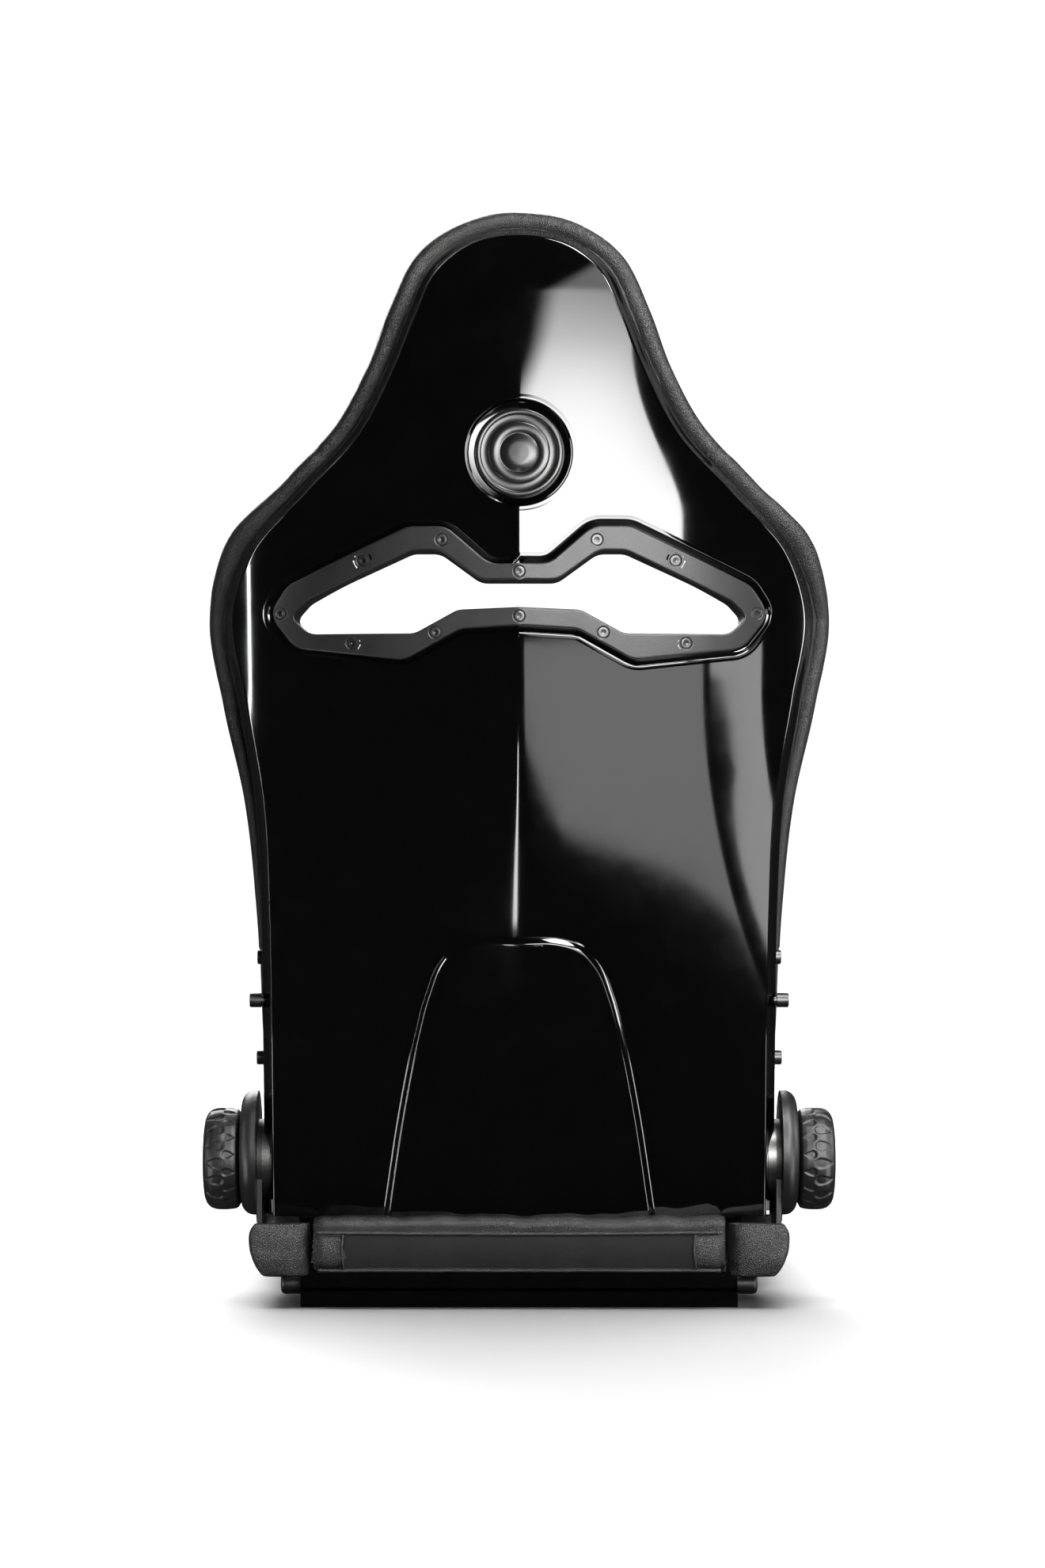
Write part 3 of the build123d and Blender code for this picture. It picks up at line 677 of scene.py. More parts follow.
def dress_kept_nodes() -> None:
    """Put the finish of each material slot on the CAD nodes that stay."""
    by_slot = {finish.slot: finish for finish in FINISHES}
    for node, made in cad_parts.items():
        for place in made.material_slots:
            name = place.material.name.split(".")[0] if place.material else ""
            if name in by_slot:
                place.material = by_slot[name].material()
            else:
                log.warning("%s has the unknown slot %s", node, name)


# ---------------------------------------------------------------- backrest form

@dataclass(frozen=True)
class BackForm:
    """Surfaces that everything on the backrest follows."""

    base_y: float = 205.0
    base_z: float = 80.0
    lean: float = 0.15
    fade: float = 2.34e-4
    fade_from: float = 480.0
    wrap_x: float = 230.0

    def spine(self, z: np.ndarray) -> np.ndarray:
        """Rear face on the centre line: a lean that fades, then a rounded crown.

        Args:
            z: Heights.

        Returns:
            y of each height.
        """
        y = self.base_y + self.lean * (z - self.base_z)
        y = y - self.fade * np.maximum(z - self.fade_from, 0)**2
        return y - 14 * (np.maximum(z - 900, 0) / 60)**2

    def rear(self, x: np.ndarray, z: np.ndarray, soft: float | None = None) -> np.ndarray:
        """Rear face of the shell: a roof either side of the crease, wrapped forward at the sides.

        Args:
            x: Distances from the centre line.
            z: Heights.
            soft: Half width over which the crease is rounded; None for the shell's own.

        Returns:
            y of each place.
        """
        z = np.maximum(z, self.base_z - 20)
        rise, head = step(z, 150, 560), step(z, 700, 860)
        crease = (0.06 + 0.06 * rise) * (1 - head)
        wrap = 10 + 25 * rise
        if soft is None:
            soft = 1.0 + 11.0 * (1 - step(z, 335, 520)) + 3.0 * step(z, 800, 870)
        across = np.sqrt(x**2 + soft**2) - soft
        dome = 12 * head * (x / 100)**2
        return self.spine(z) - crease * across - wrap * (np.abs(x) / self.wrap_x)**4 - dome

    def side_front(self, z: np.ndarray) -> np.ndarray:
        """Front edge of the shell's side walls."""
        edge = np.asarray(SHELL_FRONT, float)
        return np.interp(z, edge[:, 1], edge[:, 0])


FORM = BackForm()


# ---------------------------------------------------------------- shell and its fittings

@dataclass
class RearShell:
    """One-piece gloss shell with an edge fillet, side walls, and room for the ring and badge."""

    half_count: int = 330
    columns: int = 84
    fan_z: float = 880.0
    edge_start: float = 11.2
    fillet: tuple = ((10.5, 0.0), (10.0, 0.03), (9.6, 0.13), (9.25, 0.34), (8.95, 0.66),
                     (8.72, 1.1), (8.5, 1.8), (7.5, 5.2), (5.6, 9.6), (3.6, 13.4), (2.0, 16.3),
                     (0.8, 18.6), (0.15, 21.0))
    wall_rows: int = 14
    recess: tuple = ((9.6, 0.0), (7.4, 0.28), (6.3, 0.30), (5.5, 0.05), (4.9, -0.6), (3.0, -2.2),
                     (1.2, -3.2), (-2.5, -3.3))

    def rows(self) -> tuple:
        """Edge points, the unit vectors inwards along each row, and what a square mm costs there.

        Returns:
            Edge places, directions inwards, row lengths, and how square each row meets the edge.
        """
        edge = outline(SHELL_HALF, self.half_count)
        inner = np.stack([np.zeros(len(edge)), np.minimum(edge[:, 1], self.fan_z)], axis=-1)
        length = np.maximum(np.linalg.norm(edge - inner, axis=1, keepdims=True), 1e-6)
        inward = (inner - edge) / length
        along = np.gradient(edge, axis=0)
        along /= np.linalg.norm(along, axis=1, keepdims=True)
        square = np.abs(inward[:, 0] * along[:, 1] - inward[:, 1] * along[:, 0])[:, None]
        return edge, inward, length, np.maximum(square, 0.3)

    def skin(self, plan: MeshPlan) -> None:
        """Main face: rows from the centre line (or the fan's point) out to the fillet.

        Args:
            plan: The shell's mesh.
        """
        edge, inward, length, square = self.rows()
        share = np.linspace(0, 1, self.columns)[None, :, None]
        reach = (length - self.edge_start / square)[:, None]
        place = (edge + inward * length)[:, None] - inward[:, None] * share * reach
        x, z = place[..., 0], place[..., 1]
        points = np.stack([x, FORM.rear(x, z), z], axis=-1)
        solid = signed_gap(place, rounded_loop(RING_HALF, RING_CORNER, 7, 3)) > RING_HOLE_GAP
        solid &= np.hypot(x, z - BADGE_Z) > BADGE_HOLE
        plan.grid(points, keep=solid)

    def rim(self, plan: MeshPlan) -> None:
        """Fillet, side wall, and the lip that turns inwards at the wall's front edge.

        Args:
            plan: The shell's mesh.
        """
        edge, inward, _, square = self.rows()
        fall = np.asarray([(self.edge_start, 0.0), *self.fillet])
        place = edge[:, None] + inward[:, None] * (fall[:, 0][None] / square)[..., None]
        x, z = place[..., 0], place[..., 1]
        front = FORM.side_front(edge[:, 1])
        depth = FORM.rear(edge[:, 0], edge[:, 1]) - front
        share = np.minimum(0.75 * depth / fall[-1, 1], 1.0)[:, None]
        top = np.stack([x, FORM.rear(x, z) - share * fall[:, 1][None], z], axis=-1)
        down = np.linspace(0, 1, self.wall_rows)[1:][None, :, None]
        start = top[:, -1:]
        foot = np.stack([edge[:, 0], front, edge[:, 1]], axis=-1)[:, None]
        wall = start * (1 - down) + foot * down
        turn = np.asarray([(0.4, -0.6), (1.6, -1.0), (3.2, -0.6), (4.0, 0.8), (4.0, 12.0)])
        lip_place = edge[:, None] + inward[:, None] * (turn[:, 0][None] / square)[..., None]
        lip = np.stack([lip_place[..., 0], front[:, None] + turn[:, 1][None],
                        lip_place[..., 1]], axis=-1)
        plan.grid(np.concatenate([top, wall, lip], axis=1))

    def foot(self, plan: MeshPlan) -> None:
        """Lower edge, turned forward by the shell's thickness and back up inside.

        Args:
            plan: The shell's mesh.
        """
        x = np.linspace(-226, 226, 160)[:, None]
        turn = np.asarray([(0.0, 0.0), (-0.8, -0.6), (-2.0, -0.9), (-3.4, -0.5), (-4.0, 1.0),
                           (-4.0, 14)])
        z = FORM.base_z + turn[:, 1][None] + 0 * x
        y = FORM.rear(x + 0 * z, FORM.base_z + 0 * z) + turn[:, 0][None]
        plan.grid(np.stack([x + 0 * z, y, z], axis=-1))

    def ring_recess(self, plan: MeshPlan) -> None:
        """Bevelled step down to the trim ring, from a soft shoulder on the shell's face."""
        loop = rounded_loop(RING_HALF, RING_CORNER, 12, 14)
        plan.grid(offset_band(loop, self.recess), close_rows=True)

    def badge_well(self, plan: MeshPlan) -> None:
        """Round well for the badge: a small shoulder, a wall and a flat floor.

        Args:
            plan: The shell's mesh.
        """
        floor = FORM.spine(np.array(BADGE_Z)) - BADGE_DEPTH
        profile = np.asarray([(51.0, 0.02), (49.0, 0.16), (47.4, 0.22), (46.5, 0.0), (46.0, -0.7)])
        angle = np.linspace(0, 2 * np.pi, 144, endpoint=False)[:, None]
        x, z = profile[:, 0] * np.sin(angle), BADGE_Z + profile[:, 0] * np.cos(angle)
        lip = np.stack([x, FORM.rear(x, z) + profile[:, 1], z], axis=-1)
        well = np.asarray([(45.7, 2.4), (45.2, 0.6), (44.0, 0.0), (30.0, 0.0)])
        x, z = well[:, 0] * np.sin(angle), BADGE_Z + well[:, 0] * np.cos(angle)
        base = np.stack([x, floor + well[:, 1] + 0 * x, z], axis=-1)
        plan.grid(np.concatenate([lip, base], axis=1), close_rows=True)

    def build(self) -> None:
        """Make the shell."""
        plan = MeshPlan()
        self.skin(plan)
        self.rim(plan)
        self.foot(plan)
        self.ring_recess(plan)
        self.badge_well(plan)
        dress(plan.build("rear_shell_skin", outward=(0, 1, 0)), SHELL_GLOSS, "backrest",
              "rear_shell")


def loop_normals(loop: np.ndarray, closed: bool = True) -> np.ndarray:
    """Outward unit vectors of a loop, or an open line, that runs clockwise over the top.

    Args:
        loop: (x, z) places.
        closed: Whether the last place joins the first.

    Returns:
        One unit vector per place.
    """
    ahead, back = np.roll(loop, -1, axis=0), np.roll(loop, 1, axis=0)
    along = ahead - back if closed else np.gradient(loop, axis=0)
    along /= np.linalg.norm(along, axis=1, keepdims=True)
    return np.stack([-along[:, 1], along[:, 0]], axis=-1)


def offset_band(loop: np.ndarray, profile: tuple, soft: float | None = None) -> np.ndarray:
    """Band on the shell's face: each loop point moved square to the loop, and lifted.

    Args:
        loop: Closed loop or open line of (x, z).
        profile: (distance outwards, height above the shell's face) pairs.
        soft: Rounding of the crease, as BackForm.rear takes it.

    Returns:
        Places, loop points by profile points by 3.
    """
    steps = np.asarray(profile, float)
    place = loop[:, None] + loop_normals(loop)[:, None] * steps[:, 0][None, :, None]
    x, z = place[..., 0], place[..., 1]
    return np.stack([x, FORM.rear(x, z, soft) + steps[:, 1][None], z], axis=-1)


@dataclass
class ArchPanel:
    """Arched panel low on the shell, raised on a rounded bevel."""

    height: float = 4.0
    soft: float = 30.0
    edge_profile: tuple = ((0.9, -0.7), (0.2, 0.0), (-0.3, 0.14), (-0.8, 0.36), (-1.25, 0.7),
                           (-1.65, 1.1), (-4.5, 3.1), (-5.0, 3.45), (-5.55, 3.72), (-6.2, 3.9),
                           (-7.0, 3.98), (-8.4, 4.0))

    def build(self) -> None:
        """Make the bevel round the arch, and the face that fills it in rows."""
        line = outline(ARCH_HALF, 150)
        line[[0, -1], 1] = FORM.base_z
        normals = loop_normals(line, closed=False)
        steps = np.asarray(self.edge_profile, float)
        place = line[:, None] + normals[:, None] * steps[:, 0][None, :, None]
        x, z = place[..., 0], np.maximum(place[..., 1], FORM.base_z)
        lift = steps[:, 1][None]
        mix = np.clip(lift / self.height, 0, 1)
        y = (1 - mix) * FORM.rear(x, z) + mix * FORM.rear(x, z, self.soft) + lift
        plan = MeshPlan()
        plan.grid(np.stack([x, y, z], axis=-1))
        inner = place[:, -1]
        half = len(inner) // 2
        right, left = inner[half:][::-1], inner[:half + 1]
        share = np.linspace(0, 1, 60)[None, :, None]
        fill = left[:, None] * (1 - share) + right[:, None] * share
        x, z = fill[..., 0], np.maximum(fill[..., 1], FORM.base_z)
        y = FORM.rear(x, z, self.soft) + steps[-1, 1]
        plan.grid(np.stack([x, y, z], axis=-1))
        piece = plan.build("arch_panel", outward=(0, 1, 0))
        dress(piece, SHELL_GLOSS, "backrest")


@dataclass
class TrimRing:
    """Satin ring round the harness slot, its countersunk screws and the lined tube behind it."""

    top: float = 2.9
    side_low: float = -3.2
    corner: float = 20.0
    screw_seat: float = 5.6

    def loops(self, arc: int = 16, run: int = 30) -> tuple:
        """Slot and ring loops with matching points."""
        slot = rounded_loop(SLOT_HALF, self.corner, arc, run)
        return slot, rounded_loop(RING_HALF, RING_CORNER, arc, run)

    def screw_places(self) -> np.ndarray:
        """(x, z) of all twelve screws."""
        half = np.asarray(RING_SCREWS, float)
        return np.vstack([half, half[half[:, 0] > 0] * np.array([-1.0, 1.0])])

    def build(self) -> None:
        """Make the ring, then its screws and liner."""
        slot, ring = self.loops()
        width = np.linalg.norm(ring - slot, axis=1, keepdims=True)
        edge = np.asarray([(0.0, self.side_low), (0.0, 1.6), (0.25, 2.3), (0.8, 2.75),
                           (1.5, self.top)])
        middle = np.linspace(0, 1, 18)[1:-1]
        inner, outer = edge[:, 0][None] / width, 1 - edge[::-1, 0][None] / width
        flat = inner[:, -1:] + (outer[:, :1] - inner[:, -1:]) * middle[None]
        share = np.concatenate([inner, flat, outer], axis=1)[..., None]
        lift = np.r_[edge[:, 1], np.full(len(middle), self.top), edge[::-1, 1]]
        place = slot[:, None] * (1 - share) + ring[:, None] * share
        x, z = place[..., 0], place[..., 1]
        far = np.ones(x.shape, bool)
        for sx, sz in self.screw_places():
            far &= np.hypot(x - sx, z - sz) > self.screw_seat
        plan = MeshPlan()
        points = np.stack([x, FORM.rear(x, z, 1.0) + lift[None], z], axis=-1)
        plan.grid(points, close_rows=True, keep=far)
        self.seats(plan)
        dress(plan.build("trim_ring", outward=(0, 1, 0)), TRIM_SATIN, "backrest", "slot_trim_ring",
              sharp=50)
        self.screws()
        self.liner()

    def seats(self, plan: MeshPlan) -> None:
        """Countersunk seats that close the ring round each screw.

        Args:
            plan: The ring's mesh.
        """
        profile = np.asarray([(7.2, 0.02), (6.2, 0.05), (5.5, -0.02), (5.15, -0.3), (3.0, -2.2),
                              (0.4, -2.4)])
        angle = np.linspace(0, 2 * np.pi, 36, endpoint=False)[:, None]
        for sx, sz in self.screw_places():
            x, z = sx + profile[:, 0] * np.sin(angle), sz + profile[:, 0] * np.cos(angle)
            y = FORM.rear(x, z, 1.0) + self.top + profile[:, 1]
            plan.grid(np.stack([x, y, z], axis=-1), close_rows=True)

    def screws(self) -> None:
        """Screw heads with hexagon sockets, square to the ring's face."""
        profile = np.asarray([(4.3, -1.2), (4.75, -0.45), (4.6, -0.22), (4.2, -0.12), (2.9, -0.12),
                              (2.45, -0.2), (2.3, -0.5), (2.2, -1.9), (0.3, -2.2)])
        angle = np.linspace(0, 2 * np.pi, 48, endpoint=False)[:, None]
        hexagon = 0.9 / np.cos((angle + np.pi / 6) % (np.pi / 3) - np.pi / 6)
        inside = (profile[:, 0] < 2.6)[None]
        radius = np.where(inside, profile[:, 0] * hexagon, profile[:, 0] + 0 * angle)
        plan = MeshPlan()
        for sx, sz in self.screw_places():
            x, z = sx + radius * np.sin(angle), sz + radius * np.cos(angle)
            y = FORM.rear(x, z, 1.0) + self.top + profile[:, 1]
            plan.grid(np.stack([x, y, z], axis=-1), close_rows=True)
        dress(plan.build("ring_screw_heads", outward=(0, 1, 0)), FASTENER, "backrest",
              "ring_screws", sharp=35)

    def liner(self) -> None:
        """Leather tube from the ring through the padding, with a rolled front edge."""
        slot = self.loops(10, 10)[0]
        normals = loop_normals(slot)
        x, z = slot[:, 0], slot[:, 1]
        back = FORM.rear(x, z, 1.0) - 0.5
        front = 100 + 0.215 * (z - 112) - 3.6e-4 * np.maximum(z - 500, 0)**2
        front = front - 95 * 0.9 * step(np.abs(x), 146, 231) + 5
        share = np.linspace(0, 1, 24)[None]
        y = back[:, None] * (1 - share) + front[:, None] * share
        bulge = 0.6 * np.sin(np.pi * share) * (1 + 0.5 * np.sin(5 * x[:, None] / 40))
        inner = np.stack([x[:, None] + normals[:, :1] * bulge, y,
                          z[:, None] + normals[:, 1:] * bulge], axis=-1)
        roll = np.linspace(0, np.pi, 9)[None]
        out = 1.5 - 1.5 * np.cos(roll)
        rolled = np.stack([x[:, None] + normals[:, :1] * out,
                           front[:, None] - 1.5 * np.sin(roll),
                           z[:, None] + normals[:, 1:] * out], axis=-1)
        outer_y = front[:, None] * (1 - share) + (back[:, None] - 4) * share
        outer = np.stack([(x + 3 * normals[:, 0])[:, None] + 0 * share, outer_y,
                          (z + 3 * normals[:, 1])[:, None] + 0 * share], axis=-1)
        plan = MeshPlan()
        plan.grid(np.concatenate([inner, rolled[:, 1:], outer[:, 1:]], axis=1), close_rows=True)
        dress(plan.build("slot_lining"), LINER_LEATHER, "backrest", "slot_liner")


def dress_badge() -> None:
    """Plain round badge: rounded rim, groove and a low domed middle with fine turned rings."""
    floor = float(FORM.spine(np.array(BADGE_Z))) - BADGE_DEPTH
    profile = np.asarray([(38.6, 0.0), (38.6, 3.2), (38.2, 4.0), (37.2, 4.5), (34.6, 4.5),
                          (33.8, 4.1), (33.4, 3.2), (32.8, 3.0), (27.6, 3.0), (27.0, 3.2),
                          (26.6, 4.0), (25.6, 4.5), (18.0, 4.9), (17.6, 4.6), (16.9, 4.6),
                          (16.5, 4.95), (8.0, 5.2), (0.05, 5.3)])
    angle = np.linspace(0, 2 * np.pi, 160, endpoint=False)[:, None]
    x, z = profile[:, 0] * np.sin(angle), BADGE_Z + profile[:, 0] * np.cos(angle)
    plan = MeshPlan()
    plan.grid(np.stack([x, floor + profile[:, 1] + 0 * x, z], axis=-1), close_rows=True)
    dress(plan.build("round_badge", outward=(0, 1, 0)), BADGE_BLACK, "backrest", "shell_badge",
          sharp=40)


# ---------------------------------------------------------------- padding

@dataclass
class Pad:
    """A padded piece: the CAD solid's form, shrunk a little and then blown up as cloth."""

    node: str
    finish: Finish
    body: str
    voxel: float = 6.0
    shrink: float = 3.0
    cap: float = 6.0
    fill: float = 0.8
    paired: bool = False
    shape: Callable[[np.ndarray], np.ndarray] | None = None
    piece: bpy.types.Object | None = None
    rest: np.ndarray | None = None

    def start(self) -> None:
        """Copy the CAD solid, merge it, remesh it into even quads and draw it in."""
        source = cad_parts[f"{self.node}_left" if self.paired else self.node]
        mesh = source.data.copy()
        name = f"{self.node}_pad_left" if self.paired else f"{self.node}_pad"
        rough = bpy.data.objects.new(name + "_start", mesh)
        bpy.context.scene.collection.objects.link(rough)
        merge = bmesh.new()
        merge.from_mesh(mesh)
        bmesh.ops.remove_doubles(merge, verts=merge.verts, dist=1e-5)
        merge.to_mesh(mesh)
        merge.free()
        remesh = rough.modifiers.new("even", "REMESH")
        remesh.mode, remesh.voxel_size = "VOXEL", self.voxel * MM
        smooth = rough.modifiers.new("smooth", "SMOOTH")
        smooth.factor, smooth.iterations = 0.5, 4
        bpy.context.view_layer.update()
        graph = bpy.context.evaluated_depsgraph_get()
        even = bpy.data.meshes.new_from_object(rough.evaluated_get(graph))
        bpy.data.objects.remove(rough)
        count = len(even.vertices)
        place, normal = np.empty(count * 3), np.empty(count * 3)
        even.vertices.foreach_get("co", place)
        even.vertices.foreach_get("normal", normal)
        self.rest = place.reshape(-1, 3) - normal.reshape(-1, 3) * self.shrink * MM
        even.vertices.foreach_set("co", self.rest.ravel())
        even.materials.clear()
        self.piece = bpy.data.objects.new(name, even)
        bpy.context.scene.collection.objects.link(self.piece)
        cloth = self.piece.modifiers.new("blow", "CLOTH")
        cloth.settings.use_pressure = True
        cloth.settings.uniform_pressure_force = CLOTH_PRESSURE
        cloth.settings.quality = 4
        cloth.settings.effector_weights.gravity = 0.0
        cloth.collision_settings.use_collision = False

    def settle(self) -> None:
        """Keep the cloth's result, with no point moved further than the cap, and no cloth left."""
        graph = bpy.context.evaluated_depsgraph_get()
        mesh = self.piece.data
        moved = np.empty(len(mesh.vertices) * 3)
        self.piece.evaluated_get(graph).data.vertices.foreach_get("co", moved)
        shift = moved.reshape(-1, 3) - self.rest
        far = np.linalg.norm(shift, axis=1, keepdims=True)
        shift *= np.minimum(1, self.cap * MM / np.maximum(far, 1e-9))
        place = self.rest + shift
        if self.shape is not None:
            place = self.shape(place / MM) * MM
        self.piece.modifiers.clear()
        mesh.vertices.foreach_set("co", place.ravel())
        mesh.update()
        mesh.shade_smooth()
        self.finish_piece(self.piece, "_left" if self.paired else "")
        if self.paired:
            other = self.piece.copy()
            other.data = mesh.copy()
            other.parent = None
            other.name = f"{self.node}_pad_right"
            bpy.context.scene.collection.objects.link(other)
            other.data.vertices.foreach_set("co", (place * np.array([-1.0, 1, 1])).ravel())
            other.data.flip_normals()
            other.data.update()
            self.finish_piece(other, "_right")

    def finish_piece(self, piece: bpy.types.Object, side: str) -> None:
        """Args:
            piece: The pad.
            side: "_left", "_right" or nothing, as its CAD node ends.
        """
        round_off = piece.modifiers.new("round", "SUBSURF")
        round_off.levels = round_off.render_levels = 1
        dress(piece, self.finish, self.body, self.node + side)


def draw_corner(place: np.ndarray) -> np.ndarray:
    """Corner of the seat's side: pulled under at its foot, with folds gathered towards the roll.

    Inwards shift is 0.012 * (60 - z)^2 below 60 mm, and the folds are a ripple that grows to 2 mm.

    Args:
        place: Places in millimetres, one per row.

    Returns:
        The places moved.
    """
    x, y, z = place.T
    under = 0.012 * np.maximum(60 - z, 0)**2 * step(x, 205, 240)
    behind = 0.009 * np.maximum(52 - z, 0)**2 * step(y, 195, 220)
    top = 3.5 * step(z, 66, 80) * step(x, 200, 245)
    folds = 1.7 * ripple(place * np.array([0.6, 0.9, 1.5]), 24, 12) * step(y, 120, 205)
    fine = 0.6 * ripple(place * np.array([0.5, 1.0, 1.6]), 10, 13) * step(y, 150, 215)
    across = x - under - top + 0.7 * folds
    return np.stack([across, y - behind + 0.8 * (folds + fine), z + 0.6 * folds], -1)


def crown_seat(place: np.ndarray) -> np.ndarray:
    """Seat centre: a shallow hollow where one sits, and sewn channels across it.

    Args:
        place: Places in millimetres, one per row.

    Returns:
        The places moved.
    """
    x, y, z = place.T
    top = step(z, 92, 104)
    hollow = 7.0 * np.exp(-((y + 60) / 110)**2) * np.cos(np.clip(x / 150, -1, 1) * np.pi / 2)
    seam = np.exp(-((y[:, None] - SEAT_SEAMS_Y) / SEAM_ACROSS)**2).sum(1)
    side = np.exp(-((np.abs(x) - SEAT_SEAM_X) / SEAM_ALONG)**2) * step(y, -285, -270)
    dip = 4.2 * np.maximum(seam * (np.abs(x) < SEAT_SEAM_X), side)
    return np.stack([x, y, z - top * (hollow + dip)], -1)


def quilt_back(place: np.ndarray) -> np.ndarray:
    """Back centre: sewn channels across it, and a seam down each side.

    Args:
        place: Places in millimetres, one per row.

    Returns:
        The places moved.
    """
    x, y, z = place.T
    front = FORM.rear(x, z) - 40
    face = step(front - y, 0, 20)
    seam = np.exp(-((z[:, None] - BACK_SEAMS_Z) / SEAM_ACROSS)**2).sum(1)
    side = np.exp(-((np.abs(x) - BACK_SEAM_X) / SEAM_ALONG)**2)
    side = side * step(z, 150, 165) * (1 - step(z, 575, 590))
    return np.stack([x, y + 4.5 * face * np.maximum(seam * (np.abs(x) < BACK_SEAM_X), side), z], -1)


def blow_up(pads: list) -> None:
    """Run every pad's cloth together, then keep the results.

    Args:
        pads: Every pad.
    """
    for pad in pads:
        pad.start()
    scene = bpy.context.scene
    for number in range(1, CLOTH_FRAMES + 1):
        scene.frame_set(number)
    for pad in pads:
        pad.settle()
    bpy.context.scene.frame_set(1)


@dataclass
class LeatherBorder:
    """Rolled leather edge that wraps round behind the shell's rim, with its seams and piping."""

    foot_z: float = 316.0
    count: int = 420
    seam_z: float = 768.0
    roll: tuple = ((1.75, -9.0), (1.35, -4.0), (1.04, -1.0), (0.86, 1.5), (0.66, 3.1), (0.45, 3.4),
                   (0.27, 2.2), (0.12, -0.2), (0.03, -3.4), (0.0, -8.0))
    side: tuple = (-14.0, -20.0, -26.0, -32.0, -37.0)
    tuck: tuple = ((0.05, -40.5), (0.25, -43.0), (0.8, -42.5), (1.6, -30.0))

    def line(self) -> tuple:
        """Leather outline from foot to foot, its outward normals, and the gap to the shell.

        Returns:
            (x, z) places, a unit vector for each, and a gap of at least 4 mm for each.
        """
        whole = outline(LEATHER_HALF, 400)
        line = resample(whole[whole[:, 1] >= self.foot_z], self.count)
        shell = outline(SHELL_HALF, 500)
        gap = np.linalg.norm(line[:, None] - shell[None], axis=-1).min(axis=1)
        return line, loop_normals(line, closed=False), np.maximum(gap, 4.0)

    def build(self) -> None:
        """Make the border: its section is carried along the outline, with the gap as its unit."""
        line, out, gap = self.line()
        section = [*self.roll, *[(0.0, y) for y in self.side], *self.tuck]
        share, lift = np.asarray(section).T
        bulge = np.where(lift > 0, lift * np.clip(gap / 15, 0.3, 1.1)[:, None], lift)
        place = line[:, None] - out[:, None] * (share[None] * gap[:, None])[..., None]
        y = FORM.side_front(line[:, 1])[:, None] - 1.0 + bulge
        points = np.stack([place[..., 0], y, place[..., 1]], axis=-1)
        away = np.abs(np.abs(line[:, 1]) - self.seam_z)[:, None]
        pinch = 1.5 * np.exp(-(away / 1.6)**2) + 0.5 * np.exp(-(away / 9.0)**2)
        soft = 0.45 * ripple(points, 46, 5) + 0.25 * ripple(points, 17, 6)
        inwards = np.stack([-out[:, 0], 0 * gap, -out[:, 1]], axis=-1)[:, None]
        seen = (lift > -38)[None, :, None] * (share < 1)[None, :, None]
        points = points + inwards * (pinch + soft)[..., None] * seen
        points[..., 1] -= pinch * (lift > -2)[None]
        plan = MeshPlan()
        plan.grid(points, close_columns=True)
        piece = dress(plan.build("leather_border"), LEATHER, "backrest")
        round_off = piece.modifiers.new("round", "SUBSURF")
        round_off.levels = round_off.render_levels = 1
        self.piping(line, out)

    def piping(self, line: np.ndarray, out: np.ndarray) -> None:
        """Piped seam along the border's front edge.

        Args:
            line: (x, z) places on the leather outline.
            out: Unit vector outwards at each.
        """
        path = line + out * 0.4
        y = FORM.side_front(line[:, 1]) - 40.5
        plan = MeshPlan()
        tube(plan, np.stack([path[:, 0], y, path[:, 1]], axis=-1), 2.2, (0, 1, 0))
        dress(plan.build("border_piping"), LEATHER, "backrest")


# ---------------------------------------------------------------- rear end of the seat cushion

